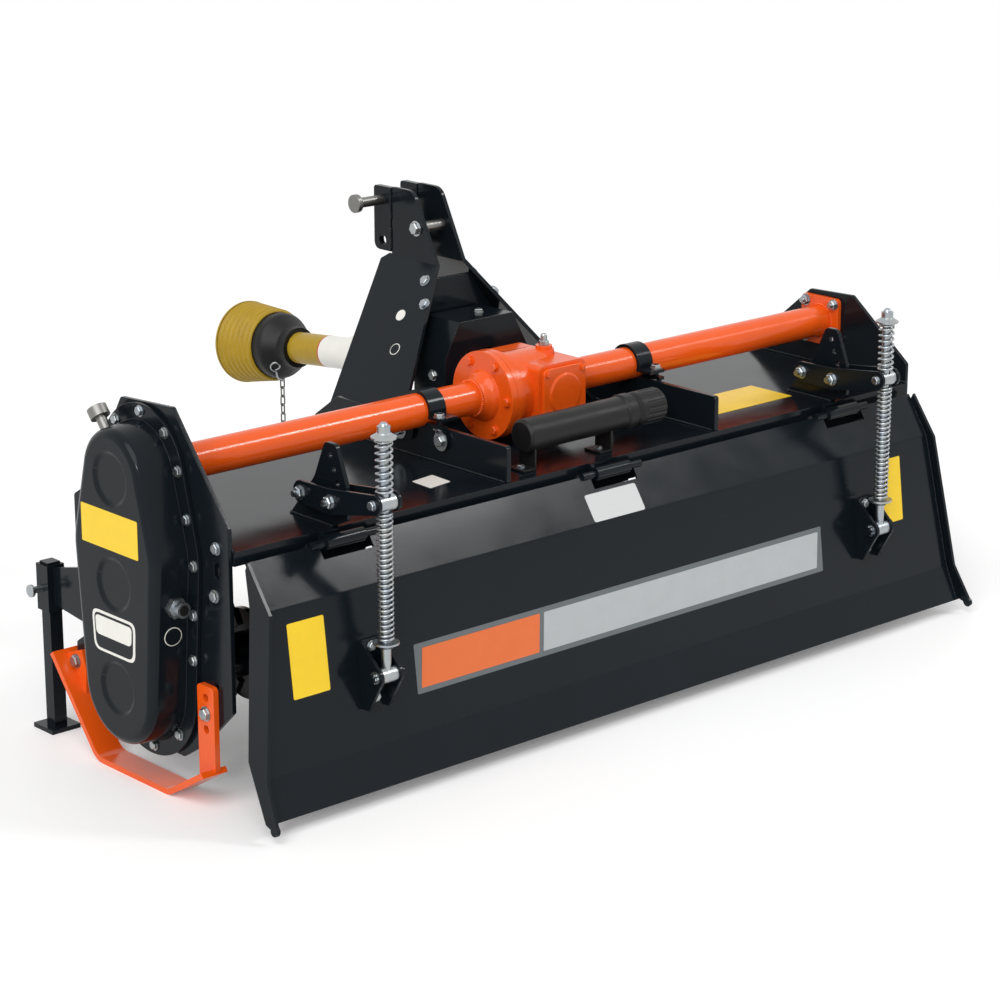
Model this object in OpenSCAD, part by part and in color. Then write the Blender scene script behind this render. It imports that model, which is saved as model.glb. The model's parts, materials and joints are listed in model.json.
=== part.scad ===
// Rotary tiller for a tractor's three-point linkage, parked on its skids and front stand.
// X runs to the right as seen from behind, Y towards the tractor and Z up, in millimetres.

/* [Body] */
// Distance over the outer faces of the two side plates
body_w = 1632; // [1500:2:1800]
// Thickness of the side plates
plate_t = 8; // [6:1:12]
// Height of the deck's top above the ground
deck_z = 440; // [425:1:460]
// Thickness of the deck sheet
deck_t = 5; // [4:0.5:8]
// Rear edge of the deck
deck_rear_y = -240; // [-250:1:-230]
// Front edge of the deck
deck_front_y = 193; // [175:1:215]
// Depth of the flange along the rear edge of the deck
deck_flange_h = 24; // [20:1:30]
// Rear edge of the side plates
plate_rear_y = -236; // [-240:1:-225]
// Front edge of the side plates below the deck
plate_front_y = 150; // [146:1:156]
// Height of the front beam under the deck
beam_h = 82; // [70:1:95]
// Wall of the front beam
beam_t = 6; // [4:1:10]
// Width of the front beam's lower flange
beam_flange = 45; // [30:1:60]

/* [Drive] */
// Fore and aft place of the cross tube and of the rotor
drive_y = -19; // [-25:1:-10]
// Height of the cross tube's axis
tube_z = 528; // [520:1:540]
// Outer diameter of the cross tube
tube_d = 60.3; // [48:0.1:70]
// Wall of the cross tube
tube_wall = 5; // [3:0.5:8]
// Side of the square flange at each end of the cross tube
tube_flange = 96; // [84:1:110]
// Thickness of the tube's end flanges
tube_flange_t = 10; // [6:1:14]
// Offset of the gearbox and mast from the middle of the springs
hitch_x = 30; // [10:1:45]
// Radius of the gearbox's round flange
box_flange_r = 80; // [76:1:85]
// Radius of the gearbox drum
box_drum_r = 70; // [62:1:74]
// Width of the gearbox block
box_block_w = 114; // [100:1:125]
// Height of the gearbox block
box_block_h = 112; // [100:1:120]
// Distance of the gearbox's rear face behind the tube's axis
box_rear = 80; // [75:1:85]
// Distance of the gearbox's front face ahead of the tube's axis
box_front = 82; // [76:1:90]
// Thickness of the gearbox's rear cover
box_cover_t = 8; // [5:1:12]
// Depth of the gear case outside the left side plate
case_depth = 72; // [60:1:80]
// Radius of the gear case round the upper gear
case_top_r = 88; // [80:1:92]
// Radius of the gear case at its widest
case_mid_r = 121; // [112:1:124]
// Radius of the gear case round the rotor
case_low_r = 103; // [96:1:106]
// Drop of the widest part below the cross tube
case_mid_drop = 128; // [115:1:140]
// Slope of the gear case's wall over its depth
case_draft = 6; // [2:0.5:8]
// Radius of the gear case's rounded edge
case_edge = 16; // [10:1:20]
// Radius of the dimples in the gear case's face
dimple_r = 50; // [40:1:54]
// Width of the gear case's bolting flange
case_flange = 26; // [20:1:26]
// Thickness of the gear case's bolting flange
case_flange_t = 8; // [6:1:12]

/* [Rotor] */
// Height of the rotor's axis
rotor_z = 172; // [170:1:180]
// Radius that the tine tips sweep
tine_r = 164; // [150:1:165]
// Outer diameter of the rotor tube
rotor_d = 76; // [70:1:80]
// Number of tine flanges
flange_n = 6; // [4:1:7]
// Distance between tine flanges
flange_pitch = 250; // [200:1:250]
// Outer radius of a tine flange
flange_r = 80; // [72:1:84]
// Thickness of a tine flange
flange_t = 12; // [8:1:16]
// Number of tines on a flange
tine_n = 6; // [4:2:6]
// Thickness of a tine
tine_t = 7; // [5:0.5:9]
// Inner radius of the bend in a tine
tine_bend = 22; // [18:1:30]
// Sideways reach of a tine's blade
tine_reach = 68; // [50:1:80]
// Radius of the rotor's stub shafts
stub_r = 20; // [18:0.5:24]

/* [Door] */
// Height of the door's hinge axis
hinge_z = 424; // [422:1:426]
// Distance of the hinge axis behind the deck
hinge_back = 16; // [15:1:18]
// Thickness of the door sheet
door_t = 5; // [4:0.5:7]
// Radius of the door's creases
door_bend = 14; // [10:1:20]
// Half width of the door at its hinge
door_half = 796; // [780:1:800]
// Half width of the door at the lip's crease
door_half_low = 834; // [826:1:840]
// Height of the door's upper crease
crease_z = 352; // [345:1:360]
// Place of the door's upper crease
crease_y = -305; // [-310:1:-300]
// Height of the lip's crease
lip_z = 90; // [85:1:100]
// Place of the lip's crease
lip_y = -338; // [-345:1:-335]
// Height of the lip's lower edge
edge_z = 27; // [22:1:35]
// Place of the lip's lower edge
edge_y = -367; // [-375:1:-360]
// Depth of the door's end plates ahead of the panel
end_depth = 36; // [25:1:40]
// How far the end plates stand out behind the panel
end_proud = 15; // [10:1:20]
// Thickness of the end plates
end_t = 6; // [5:1:8]
// Radius of the hinge rods
hinge_r = 7; // [6:0.5:8]
// Outer radius of the hinge sleeves
sleeve_r = 12; // [11:0.5:13]
// Length of the hinge sleeves
sleeve_len = 80; // [60:1:100]
// Distance between hinges
hinge_pitch = 600; // [500:1:620]

/* [Spring rods] */
// Distance between the two spring rods
rod_spacing = 1200; // [1100:1:1260]
// Place of the spring rods behind the skids' middle
rod_y = -361; // [-366:1:-356]
// Height of the rod's lower eye
eye_z = 218; // [205:1:230]
// Height of the trunnion that the rod slides through
trunnion_z = 507; // [495:1:515]
// Height of the rod's top
rod_top_z = 640; // [630:1:650]
// Radius of the rod
rod_r = 8; // [7:0.5:8]
// Gap between the rod and the hole in its trunnion
rod_gap = 2; // [1.8:0.1:2.5]
// Radius of the trunnion
trunnion_r = 14; // [13:0.5:15]
// How far the spring supports reach behind the deck's rear edge
bracket_over = 32; // [24:1:34]
// Distance between the two bolts of a spring support
bracket_pitch = 76; // [66:1:80]
// Width between the arms that hold the trunnion
arm_gap = 35; // [34:1:40]
// Thickness of the arms
arm_t = 6; // [5:1:8]
// Outer diameter of the upper springs
upper_d = 30; // [29:0.5:32]
// Wire of the upper springs
upper_wire = 5; // [4:0.5:5]
// Turns of the upper springs
upper_turns = 8; // [6:1:9]
// Outer diameter of the lower springs
lower_d = 28; // [28:0.5:30]
// Wire of the lower springs
lower_wire = 4; // [3:0.5:4]
// Turns of the lower springs
lower_turns = 27; // [20:1:29]

/* [Mast] */
// Width between the two mast plates
mast_gap = 56; // [50:1:64]
// Thickness of the mast plates
mast_t = 8; // [6:1:10]
// Height of the bend in the mast plates
mast_bend_z = 715; // [705:1:725]
// Height of the mast's head above the bend
mast_head_h = 130; // [120:1:140]
// Front edge of the mast's head ahead of the tube's axis
mast_front = 346; // [340:1:352]
// Rear end of the mast's bend ahead of the tube's axis
mast_bend_rear = 218; // [212:1:224]
// Rear corner of the mast's foot ahead of the tube's axis
mast_foot_rear = 88; // [80:1:96]
// Front corner of the mast's foot ahead of the tube's axis
mast_foot_front = 296; // [285:1:305]
// Drop of the brace's upper edge below the bend
brace_drop = 22; // [16:1:28]
// Height of the brace between the mast's legs
brace_h = 90; // [70:1:92]
// Spread of each leg to the side for each unit of drop
mast_spread = 0.763; // [0.7:0.01:0.8]
// How far the top link lugs stand out ahead of the mast
lug_reach = 48; // [46:1:54]
// Width between the top link lugs
lug_gap = 52; // [48:1:54]
// Thickness of the top link lugs
lug_t = 12; // [10:1:14]
// Radius of the top link holes
link_hole_r = 9.75; // [9.6:0.05:11]
// Radius of the top link pin
link_pin_r = 9.5; // [8:0.1:9.5]
// Drop of the top link pin below the mast's top
link_pin_drop = 27; // [24:1:30]
// Height of the spare top link hole above the bend
link_low_rise = 27; // [24:1:30]
// Height of the base plates that carry the mast and the tube
base_h = 64; // [56:1:70]
// Thickness of the base plates
base_t = 10; // [8:1:12]
// Width of the tube clamps
clamp_w = 36; // [34:1:44]
// Thickness of the clamp straps
clamp_t = 6; // [4:1:8]
// Half width of the sheet shield over the driveline's joint
shield_half = 100; // [90:1:104]
// Height of the shield above the deck
shield_h = 191; // [176:1:196]
// Width of the slope along the shield's upper edges
shield_slope_w = 35; // [30:1:50]
// Height of the slope along the shield's upper edges
shield_slope_h = 64; // [50:1:80]
// Gap between the gearbox and the shield
shield_gap = 40; // [8:1:48]
// Wall of the shield
shield_wall = 4; // [3:0.5:5]
// Distance between the lower hitch points
hitch_w = 683; // [660:1:700]
// Radius of the lower hitch pins
hitch_pin_r = 11; // [10:0.5:14]
// Height of the lower hitch pins
hitch_z = 372; // [365:1:385]
// Place of the lower hitch pins ahead of the deck
hitch_ahead = 95; // [80:1:110]

/* [Driveline] */
// Downward slope of the driveline towards the tractor, in degrees
droop = 5.8; // [3:0.1:7]
// Length from the gearbox joint to the mouth of the guard
guard_len = 698; // [660:1:720]
// Outer radius of the inner guard tube
guard_r = 31; // [29:0.5:34]
// Wall of the guard tubes
guard_wall = 4; // [3:0.5:5]
// Radius of the guard's bell at its mouth
bell_r = 82; // [76:1:84]
// Radius of the guard's bell at its root
bell_root_r = 68; // [64:1:70]
// Length of the guard's bell
bell_len = 98; // [90:1:105]
// How far the guard's collar stands behind the bell
collar_back = 70; // [60:1:76]
// Length of the outer guard tube
outer_len = 210; // [190:1:220]
// Length over which the guard tubes run one in the other
guard_lap = 54; // [40:1:70]
// Number of ribs on the bell
bell_ribs = 7; // [4:1:9]
// Radius of the splined bore for the tractor's shaft
spline_r = 17.5; // [16:0.1:18]
// Radius of the driveline's shaft
shaft_r = 22; // [18:0.5:24]

/* [Skids and stand] */
// Radius of the bends in the skids
skid_bend = 36; // [20:1:45]
// Width of the skid bars
skid_w = 50; // [40:1:60]
// Thickness of the skid bars
skid_t = 10; // [8:1:12]
// Half length of the flat of the skids
skid_half = 102; // [90:1:110]
// Height of the front end of the skids
skid_front_z = 160; // [150:1:168]
// Place of the front end of the skids
skid_front_y = 228; // [220:1:236]
// Height of the top of the skids' risers
riser_top = 205; // [198:1:215]
// Width of the skids' risers
riser_w = 44; // [38:1:46]
// Distance between the holes in a riser
riser_pitch = 27; // [22:1:30]
// Side of the stand's square leg
leg_w = 25; // [22:1:28]
// Wall of the stand's sleeve
stand_wall = 4.5; // [3:0.5:6]
// Gap between the stand's leg and its sleeve
stand_gap = 0.4; // [0.2:0.1:0.8]
// Side of the stand's foot
foot_w = 58; // [50:1:70]
// Place of the stand ahead of the skids' middle
stand_y = 282; // [270:1:295]

/* [Manual tube] */
// Radius of the tube for the manual
manual_r = 29.5; // [26:0.5:32]
// Length of the manual tube without its cap
manual_len = 256; // [220:1:280]
// Height of the manual tube's axis
manual_z = 500; // [495:1:510]
// Place of the manual tube's axis
manual_y = -192; // [-196:1:-186]

/* [Hidden] */
$fn = 48;
paint_black = "#25292c";
paint_orange = "#e0622b";
guard_yellow = "#b8982c";
plastic_black = "#2c2c2b";
zinc = "#c3c7ca";

// Clearance of a pin that turns in its hole
run_gap = 0.05;
// Clearance between pieces that only sit against each other
seat_gap = 0.2;
// Overlap used where one cut passes through a face
cut = 1;

plate_out = body_w / 2;
plate_in = plate_out - plate_t;
tube_r = tube_d / 2;
case_face_x = plate_out + case_depth;

// Door outline and hinge
hinge_y = deck_rear_y - hinge_back;
flare = (door_half_low - door_half) / (crease_z - lip_z);
flare_angle = atan(flare);
tip_r = 9;
tip_y = edge_y - end_proud;
tip_z = edge_z - 8;
door_out_x = door_half + (crease_z - tip_z + tip_r) * flare + end_t;

// Overall box, whose middle is the origin
pto_mouth_y = drive_y + 149 + guard_len * cos(droop) + bell_r * sin(droop);
door_back_y = tip_y - tip_r;
skid_x0 = plate_out - 14;
mid_x = (max(door_out_x, skid_x0 + skid_w) - case_face_x) / 2;
mid_y = (pto_mouth_y + door_back_y) / 2;

// Puts the machine's frame on the origin
module placed() {
    translate([-mid_x, -mid_y, 0]) children();
}

// A plate in the YZ plane, its outline given as Y and Z, from x0 towards +X
module plate_x(x0, t) {
    translate([x0, 0, 0]) rotate([90, 0, 90]) linear_extrude(t) children();
}

// A plate in the XZ plane, its outline given as X and Z, from y0 towards +Y
module plate_y(y0, t) {
    translate([0, y0 + t, 0]) rotate([90, 0, 0]) linear_extrude(t) children();
}

// A round bar along X between x0 and x1
module bar_x(x0, x1, y, z, r) {
    translate([x0, y, z]) rotate([0, 90, 0]) cylinder(h = x1 - x0, r = r);
}

// A profile of radius against height, turned about an axis along +X from x0
module turned_x(x0, y, z) {
    translate([x0, y, z]) rotate([0, 90, 0]) rotate_extrude() children();
}

// Two discs joined by their common tangents
module belt(c1, r1, c2, r2, sink = 0) {
    d = norm(c2 - c1);
    a = atan2(c2[1] - c1[1], c2[0] - c1[0]);
    b = acos((r1 - r2) / d);
    up = [cos(a + b), sin(a + b)];
    down = [cos(a - b), sin(a - b)];
    translate(c1) circle(r1);
    translate(c2) circle(r2);
    polygon([c1 + (r1 - sink) * up, c2 + (r2 - sink) * up, c2 + (r2 - sink) * down,
        c1 + (r1 - sink) * down]);
}

// Unit normal of run i of a line, to its left
function run_normal(points, i) =
    let (run = points[i + 1] - points[i]) [-run[1], run[0]] / norm(run);

// Point i of a line set off by d to its left, with mitred corners
function side_point(points, i, d) =
    let (a = run_normal(points, max(i - 1, 0)), b = run_normal(points, min(i, len(points) - 2)))
    points[i] + d * (a + b) / (1 + a * b);

// Outline of a sheet along a line, from d0 to d1 on its left
function sheet_outline(points, d0, d1) = concat(
    [for (i = [0 : len(points) - 1]) side_point(points, i, d0)],
    [for (i = [len(points) - 1 : -1 : 0]) side_point(points, i, d1)]);

// A corner of a line turned into an arc of radius r
function arc_corner(p0, p1, p2, r, n) = let (
    a = (p0 - p1) / norm(p0 - p1),
    b = (p2 - p1) / norm(p2 - p1),
    half = acos(a * b) / 2,
    c = p1 + (a + b) / norm(a + b) * r / sin(half),
    u = p1 + a * r / tan(half) - c,
    w = p1 + b * r / tan(half) - c,
    a0 = atan2(u[1], u[0]),
    turn = (atan2(w[1], w[0]) - a0 + 540) % 360 - 180)
    [for (k = [0 : n]) c + r * [cos(a0 + turn * k / n), sin(a0 + turn * k / n)]];

// A line with all its inner corners rounded
function rounded(points, r, n = 4) = [points[0],
    for (i = [1 : len(points) - 2]) each arc_corner(points[i - 1], points[i], points[i + 1], r, n),
    points[len(points) - 1]];

// A closed outline with its corners rounded, by one radius or by a list of radii
function softened(points, radii, n = 4) = let (m = len(points))
    [for (i = [0 : m - 1]) let (r = is_list(radii) ? radii[i] : radii) each r > 0
        ? arc_corner(points[(i + m - 1) % m], points[i], points[(i + 1) % m], r, n)
        : [points[i]]];

// A rectangle about a middle
function box_outline(mid, w, h) = [mid + [-w, -h] / 2, mid + [w, -h] / 2, mid + [w, h] / 2,
    mid + [-w, h] / 2];

// A coil spring standing on z0
module coil(mean_r, wire, turns, z0, z1) {
    sides = 6;
    steps = 8 * turns;
    rise = (z1 - z0 - wire) / steps;
    points = [for (i = [0 : steps]) for (k = [0 : sides - 1])
        let (a = 360 * i / 8, b = 360 * k / sides, r = mean_r + wire / 2 * cos(b))
        [r * cos(a), r * sin(a), z0 + wire / 2 + i * rise + wire / 2 * sin(b)]];
    faces = concat([[for (k = [0 : sides - 1]) k]],
        [for (i = [0 : steps - 1]) for (k = [0 : sides - 1])
            let (n = (k + 1) % sides)
            [i * sides + n, i * sides + k, (i + 1) * sides + k, (i + 1) * sides + n]],
        [[for (k = [sides - 1 : -1 : 0]) steps * sides + k]]);
    polyhedron(points, faces);
}

// Point on the side plate's lug, just behind the front slope of the skid at height z
function lug_edge(z) = [skid_half + (z - skid_t / 2) * (skid_front_y - skid_half)
    / (skid_front_z - skid_t / 2) - skid_t - 2, z];

// Side plates: a sheet cut to shape, with a lug for the skid at its lower front
module side_outline(top_front, top_rear) {
    corner_r = 7;
    polygon(softened([top_front, top_rear, [plate_rear_y, deck_z + 37], [plate_rear_y, rotor_z - 2],
        [drive_y - 135, rotor_z - 80], [drive_y - 81, rotor_z - 114],
        [drive_y + 79, rotor_z - 114], lug_edge(skid_front_z - 65), lug_edge(skid_front_z - 16),
        lug_edge(skid_front_z - 16) + [0, 36],
        [plate_front_y, skid_front_z + 55], [plate_front_y, deck_z - deck_t - beam_h],
        [deck_front_y, deck_z - deck_t - beam_h], [deck_front_y, deck_z + 4],
        [plate_front_y, deck_z + 30]], corner_r));
}

module side_plate(x0, top_front, top_rear) {
    difference() {
        plate_x(x0, plate_t) side_outline(top_front, top_rear);
        bar_x(x0 - cut, x0 + plate_t + cut, drive_y, rotor_z, stub_r + 12);
    }
}

module side_plate_left() {
    slot_w = 14;
    slot_h = 28;
    hole_r = 6;
    color(paint_black) placed() difference() {
        side_plate(-plate_out, [drive_y + 64, tube_z + 112], [drive_y - 77, tube_z + 121]);
        plate_x(-plate_out - cut, plate_out - plate_in + 2 * cut) {
            polygon(softened(box_outline([deck_rear_y + 36, deck_z - 37], slot_w, slot_h),
                [for (i = [0 : 3]) slot_w / 2 - 0.1]));
            translate([deck_rear_y + 45, rotor_z + 34]) circle(hole_r);
        }
    }
}

module side_plate_right() {
    color(paint_black) placed()
        side_plate(plate_in, [drive_y + 35, tube_z + 56], [drive_y - 75, tube_z + 60]);
}

module deck() {
    tab_w = notch_w + 16;
    tab_h = 26;
    color(paint_black) placed() {
        plate_x(-plate_in, 2 * plate_in)
            polygon([[deck_front_y, deck_z], [deck_rear_y, deck_z],
                [deck_rear_y, deck_z - deck_flange_h], [deck_rear_y + deck_t, deck_z - deck_flange_h],
                [deck_rear_y + deck_t, deck_z - deck_t], [deck_front_y, deck_z - deck_t]]);
        for (i = [-1 : 1])
            translate([i * hinge_pitch - tab_w / 2, deck_rear_y + 0.5, deck_z - deck_flange_h - tab_h])
                cube([tab_w, deck_t - 1, tab_h + 1]);
    }
}

module front_beam() {
    top = deck_z - deck_t;
    bottom = top - beam_h;
    color(paint_black) placed() plate_x(-plate_in, 2 * plate_in)
        polygon([[deck_front_y, top], [deck_front_y - beam_t, top],
            [deck_front_y - beam_t, bottom + beam_t], [deck_front_y - beam_flange, bottom + beam_t],
            [deck_front_y - beam_flange, bottom], [deck_front_y, bottom]]);
}

module deck_hinges() {
    saddle_h = 12;
    gusset_t = 7;
    color(paint_black) placed() for (i = [-1 : 1]) translate([i * hinge_pitch, 0, 0]) difference() {
        union() {
            bar_x(-sleeve_len / 2, sleeve_len / 2, hinge_y, hinge_z, sleeve_r);
            translate([-sleeve_len / 2, hinge_y, hinge_z - saddle_h / 2])
                cube([sleeve_len, hinge_back, saddle_h]);
            plate_x(-sleeve_len / 2, gusset_t)
                polygon([[deck_rear_y, deck_z], [deck_rear_y - 5, deck_z], [hinge_y, hinge_z + sleeve_r / 2],
                    [hinge_y, hinge_z], [deck_rear_y, hinge_z]]);
            plate_y(deck_rear_y - 6, 6)
                polygon([[-sleeve_len / 2, deck_z], [0, deck_z], [gusset_t - sleeve_len / 2 + 6, hinge_z],
                    [-sleeve_len / 2, hinge_z]]);
        }
        bar_x(-sleeve_len, sleeve_len, hinge_y, hinge_z, hinge_r + run_gap);
    }
}

// Cross tube in two lengths, bolted to the gearbox and to the side plates
module square_flange(x0) {
    plate_x(x0, tube_flange_t)
        polygon(softened(box_outline([drive_y, tube_z], tube_flange, tube_flange), 10));
}

module cross_tube_left() {
    end = hitch_x - 105;
    color(paint_orange) placed() difference() {
        union() {
            bar_x(-plate_in, end, drive_y, tube_z, tube_r);
            square_flange(-plate_in);
            turned_x(end - 40, drive_y, tube_z)
                polygon([[0, 0], [tube_r, 0], [tube_r + 5, 6], [tube_r + 7, 12], [tube_r + 14, 20],
                    [tube_r + 16, 26], [box_flange_r, 26], [box_flange_r, 40], [0, 40]]);
        }
        bar_x(-plate_in - cut, end + cut, drive_y, tube_z, tube_r - tube_wall);
    }
}

module cross_tube_right() {
    start = hitch_x + box_block_w / 2;
    color(paint_orange) placed() difference() {
        union() {
            bar_x(start, plate_in, drive_y, tube_z, tube_r);
            square_flange(plate_in - tube_flange_t);
            turned_x(start, drive_y, tube_z)
                polygon([[0, 0], [tube_r + 16, 0], [tube_r + 16, 10], [tube_r + 5, 16],
                    [tube_r, 30], [0, 30]]);
        }
        bar_x(start - cut, plate_in + cut, drive_y, tube_z, tube_r - tube_wall);
    }
}

neck_r = 42;

module gearbox() {
    left = hitch_x - 105;
    color(paint_orange) placed() {
        turned_x(left, drive_y, tube_z)
            polygon([[0, 0], [box_flange_r, 0], [box_flange_r, 12], [box_flange_r - 3, 13],
                [box_flange_r - 3, 20], [box_drum_r, 26], [box_drum_r - 2, 110], [box_drum_r - 20, 128],
                [0, 128]]);
        translate([hitch_x, 0, 0]) plate_y(drive_y - box_rear, box_rear + box_front)
            polygon(softened(box_outline([0, tube_z], box_block_w, box_block_h), 14));
        translate([hitch_x, drive_y + box_front - cut, tube_z]) rotate([-90, 0, 0])
            cylinder(h = 24 + cut, r = neck_r);
        translate([hitch_x, drive_y + box_front, tube_z]) rotate([-90, 0, 0])
            cylinder(h = joint_y + 2 - drive_y - box_front, r = input_r);
        translate([hitch_x + 20, drive_y - 10, tube_z]) {
            cylinder(h = box_drum_r + 2, r = 15);
            cylinder(h = box_drum_r - 4, r1 = 30, r2 = 18);
        }
    }
}

module gearbox_cover() {
    disc_r = 38;
    color(paint_orange) placed() translate([hitch_x, 0, 0]) {
        plate_y(drive_y - box_rear - box_cover_t, box_cover_t)
            polygon(softened(box_outline([0, tube_z], box_block_w - 12, box_block_h - 12), 12));
        translate([0, drive_y - box_rear - box_cover_t, tube_z]) rotate([90, 0, 0])
            cylinder(h = 3, r1 = disc_r, r2 = disc_r - 3);
    }
}

module gearbox_breather() {
    base_z = tube_z + box_drum_r + 2;
    color(zinc) placed() translate([hitch_x + 20, drive_y - 10, base_z]) {
        cylinder(h = 8, r = 10, $fn = 6);
        cylinder(h = 16, r = 6);
        translate([0, 0, 16]) sphere(6);
    }
}

// Gear case: rounded cover outside the left plate, with a bolting flange and three dimples
case_mid_z = tube_z - case_mid_drop;

module case_puck(r, z, grow) {
    face_r = r - case_draft;
    translate([-case_face_x - grow, drive_y, z]) rotate([0, 90, 0]) rotate_extrude($fn = 56)
        polygon([[0, 0], [face_r - case_edge + grow, 0], for (a = [18 : 18 : 90])
            [face_r - case_edge + case_edge * sin(a) + grow, case_edge - case_edge * cos(a)],
            [r + grow, case_depth + grow], [0, case_depth + grow]]);
}

module case_body(grow) {
    hull() {
        case_puck(case_top_r, tube_z, grow);
        case_puck(case_mid_r, case_mid_z, grow);
        case_puck(case_low_r, rotor_z, grow);
    }
}

module case_flange_outline() {
    belt([drive_y, tube_z], case_top_r + case_flange, [drive_y, case_mid_z], case_mid_r + case_flange);
    belt([drive_y, case_mid_z], case_mid_r + case_flange, [drive_y, rotor_z], case_low_r + case_flange);
}

module gear_case() {
    dimple = 6;
    color(paint_black) placed() {
        difference() {
            case_body(0);
            for (z = [tube_z, (tube_z + rotor_z) / 2, rotor_z])
                translate([-case_face_x - cut, drive_y, z]) rotate([0, 90, 0])
                    cylinder(h = dimple + cut, r1 = dimple_r, r2 = dimple_r - 2 * dimple);
        }
        plate_x(-plate_out - case_flange_t, case_flange_t) case_flange_outline();
    }
}

// Oil filler and oil sight, seated on the case's wall
module oil_filler() {
    wall_x = -plate_out - case_depth / 2;
    color(zinc) placed() difference() {
        translate([wall_x, drive_y, tube_z]) rotate([-40, 0, 0]) {
            cylinder(h = case_top_r + 22, r = 9);
            translate([0, 0, case_top_r + 20]) cylinder(h = 18, r = 17);
        }
        case_body(seat_gap);
    }
}

module oil_sight() {
    wall_x = -plate_out - case_depth * 0.45;
    sight_z = case_mid_z - 68;
    color(zinc) placed() difference() {
        translate([wall_x, drive_y, sight_z]) rotate([90, 0, 0]) {
            cylinder(h = case_mid_r + 4, r = 18, $fn = 6);
            cylinder(h = case_mid_r + 18, r = 13);
        }
        case_body(seat_gap);
    }
}

// Mast: two plates that stand close at the top and spread to the deck
mast_out = mast_gap / 2 + mast_t;
leg_drop = mast_bend_z - deck_z;
leg_angle = atan(mast_spread);
leg_foot = mast_gap / 2 + leg_drop * mast_spread + mast_t / cos(leg_angle);
base_mid = leg_foot + seat_gap + base_t / 2;
mast_front_y = drive_y + mast_front;
bend_rear_y = drive_y + mast_bend_rear;
bend_front_y = mast_front_y + lug_reach / 2;
foot_rear_y = drive_y + mast_foot_rear;
foot_front_y = drive_y + mast_foot_front;
lug_front_y = mast_front_y + lug_reach;
mast_top_z = mast_bend_z + mast_head_h;
link_y = lug_front_y - lug_reach / 2;
link_pin_z = mast_top_z - link_pin_drop;
link_low_z = mast_bend_z + link_low_rise;

module mast_half() {
    slant = leg_drop / cos(leg_angle);
    over = 30;
    translate([hitch_x, 0, 0]) {
        plate_x(-mast_out, mast_t)
            polygon(softened([[mast_front_y, mast_bend_z], [mast_front_y, mast_top_z],
                [mast_front_y - 62, mast_top_z], [bend_rear_y, mast_bend_z]], [0, 5, 28, 0]));
        difference() {
            translate([-mast_gap / 2, 0, mast_bend_z]) rotate([0, leg_angle, 0])
                plate_x(-mast_t, mast_t)
                    polygon([[bend_rear_y, 0], [bend_front_y - 16, 0], [bend_front_y, -14],
                        [foot_front_y, -slant], [foot_front_y, -slant - over],
                        [foot_rear_y, -slant - over], [foot_rear_y, -slant]]);
            translate([-2 * leg_foot, foot_rear_y - over, deck_z - 2 * over])
                cube([2 * leg_foot, 2 * leg_foot, 2 * over]);
        }
    }
}

module mast_plate_left() {
    color(paint_black) placed() mast_half();
}

module mast_plate_right() {
    color(paint_black) placed() translate([2 * hitch_x, 0, 0]) mirror([1, 0, 0]) mast_half();
}

module mast_lugs() {
    color(paint_black) placed() for (side = [0, 1])
        translate([hitch_x - lug_gap / 2 - lug_t + side * (lug_gap + lug_t), 0, 0]) difference() {
            plate_x(0, lug_t)
                polygon(softened([[mast_front_y, mast_bend_z + 8], [lug_front_y, mast_bend_z + 8],
                    [lug_front_y, mast_top_z - 2], [mast_front_y, mast_top_z - 2]], [0, 14, 6, 0]));
            for (z = [link_pin_z, link_low_z])
                bar_x(-cut, lug_t + cut, link_y, z, link_hole_r);
        }
}

module top_link_pin() {
    head = 10;
    left = hitch_x - lug_gap / 2 - lug_t - 58;
    right = hitch_x + lug_gap / 2 + lug_t + 24;
    color(zinc) placed() {
        bar_x(left, right, link_y, link_pin_z, link_pin_r);
        bar_x(left - head, left, link_y, link_pin_z, 17);
    }
}

module mast_spacer() {
    color(zinc) placed()
        bar_x(hitch_x - mast_gap / 2, hitch_x + mast_gap / 2, mast_front_y - 71, mast_bend_z + mast_head_h * 0.48, 10);
}

// Inner half width between the legs at height z
function leg_in(z) = mast_gap / 2 + (mast_bend_z - z) * mast_spread;

module mast_brace() {
    top = mast_bend_z - brace_drop;
    bottom = top - brace_h;
    t = 6;
    color(paint_black) placed() translate([hitch_x, 0, 0]) plate_y(bend_rear_y, t)
        polygon([[-leg_in(top), top], [leg_in(top), top], [leg_in(bottom), bottom],
            [leg_in(bottom) - 30, bottom], [leg_in(bottom) - 60, bottom + 22],
            [60 - leg_in(bottom), bottom + 22], [30 - leg_in(bottom), bottom],
            [-leg_in(bottom), bottom]]);
}

// Sheet cover over the driveline's joint at the gearbox
module shield_outline(inset) {
    half = shield_half - inset;
    top = deck_z + shield_h - inset;
    low = deck_z - (inset > 0 ? cut : 0);
    polygon([[-half, low], [-half, top - shield_slope_h], [shield_slope_w - half, top],
        [half - shield_slope_w, top], [half, top - shield_slope_h], [half, low]]);
}

module pto_shield() {
    start = drive_y + box_front + shield_gap;
    length = bend_rear_y - start - 8;
    color(paint_black) placed() translate([hitch_x, 0, 0]) {
        plate_y(start, length) difference() {
            shield_outline(0);
            shield_outline(shield_wall);
        }
        plate_y(start, shield_wall) difference() {
            shield_outline(0);
            translate([0, tube_z]) circle(neck_r + 4);
        }
    }
}

module base_plates() {
    color(paint_black) placed() for (side = [-1, 1]) difference() {
        plate_x(hitch_x + side * base_mid - base_t / 2, base_t)
            polygon([[deck_rear_y + 2, deck_z], [deck_rear_y + 2, deck_z + base_h - 4],
                [deck_rear_y + 6, deck_z + base_h], [foot_front_y + 8, deck_z + base_h],
                [foot_front_y + 8, deck_z]]);
        bar_x(hitch_x + side * base_mid - base_t, hitch_x + side * base_mid + base_t,
            drive_y, tube_z, tube_r + seat_gap);
    }
}

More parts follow.
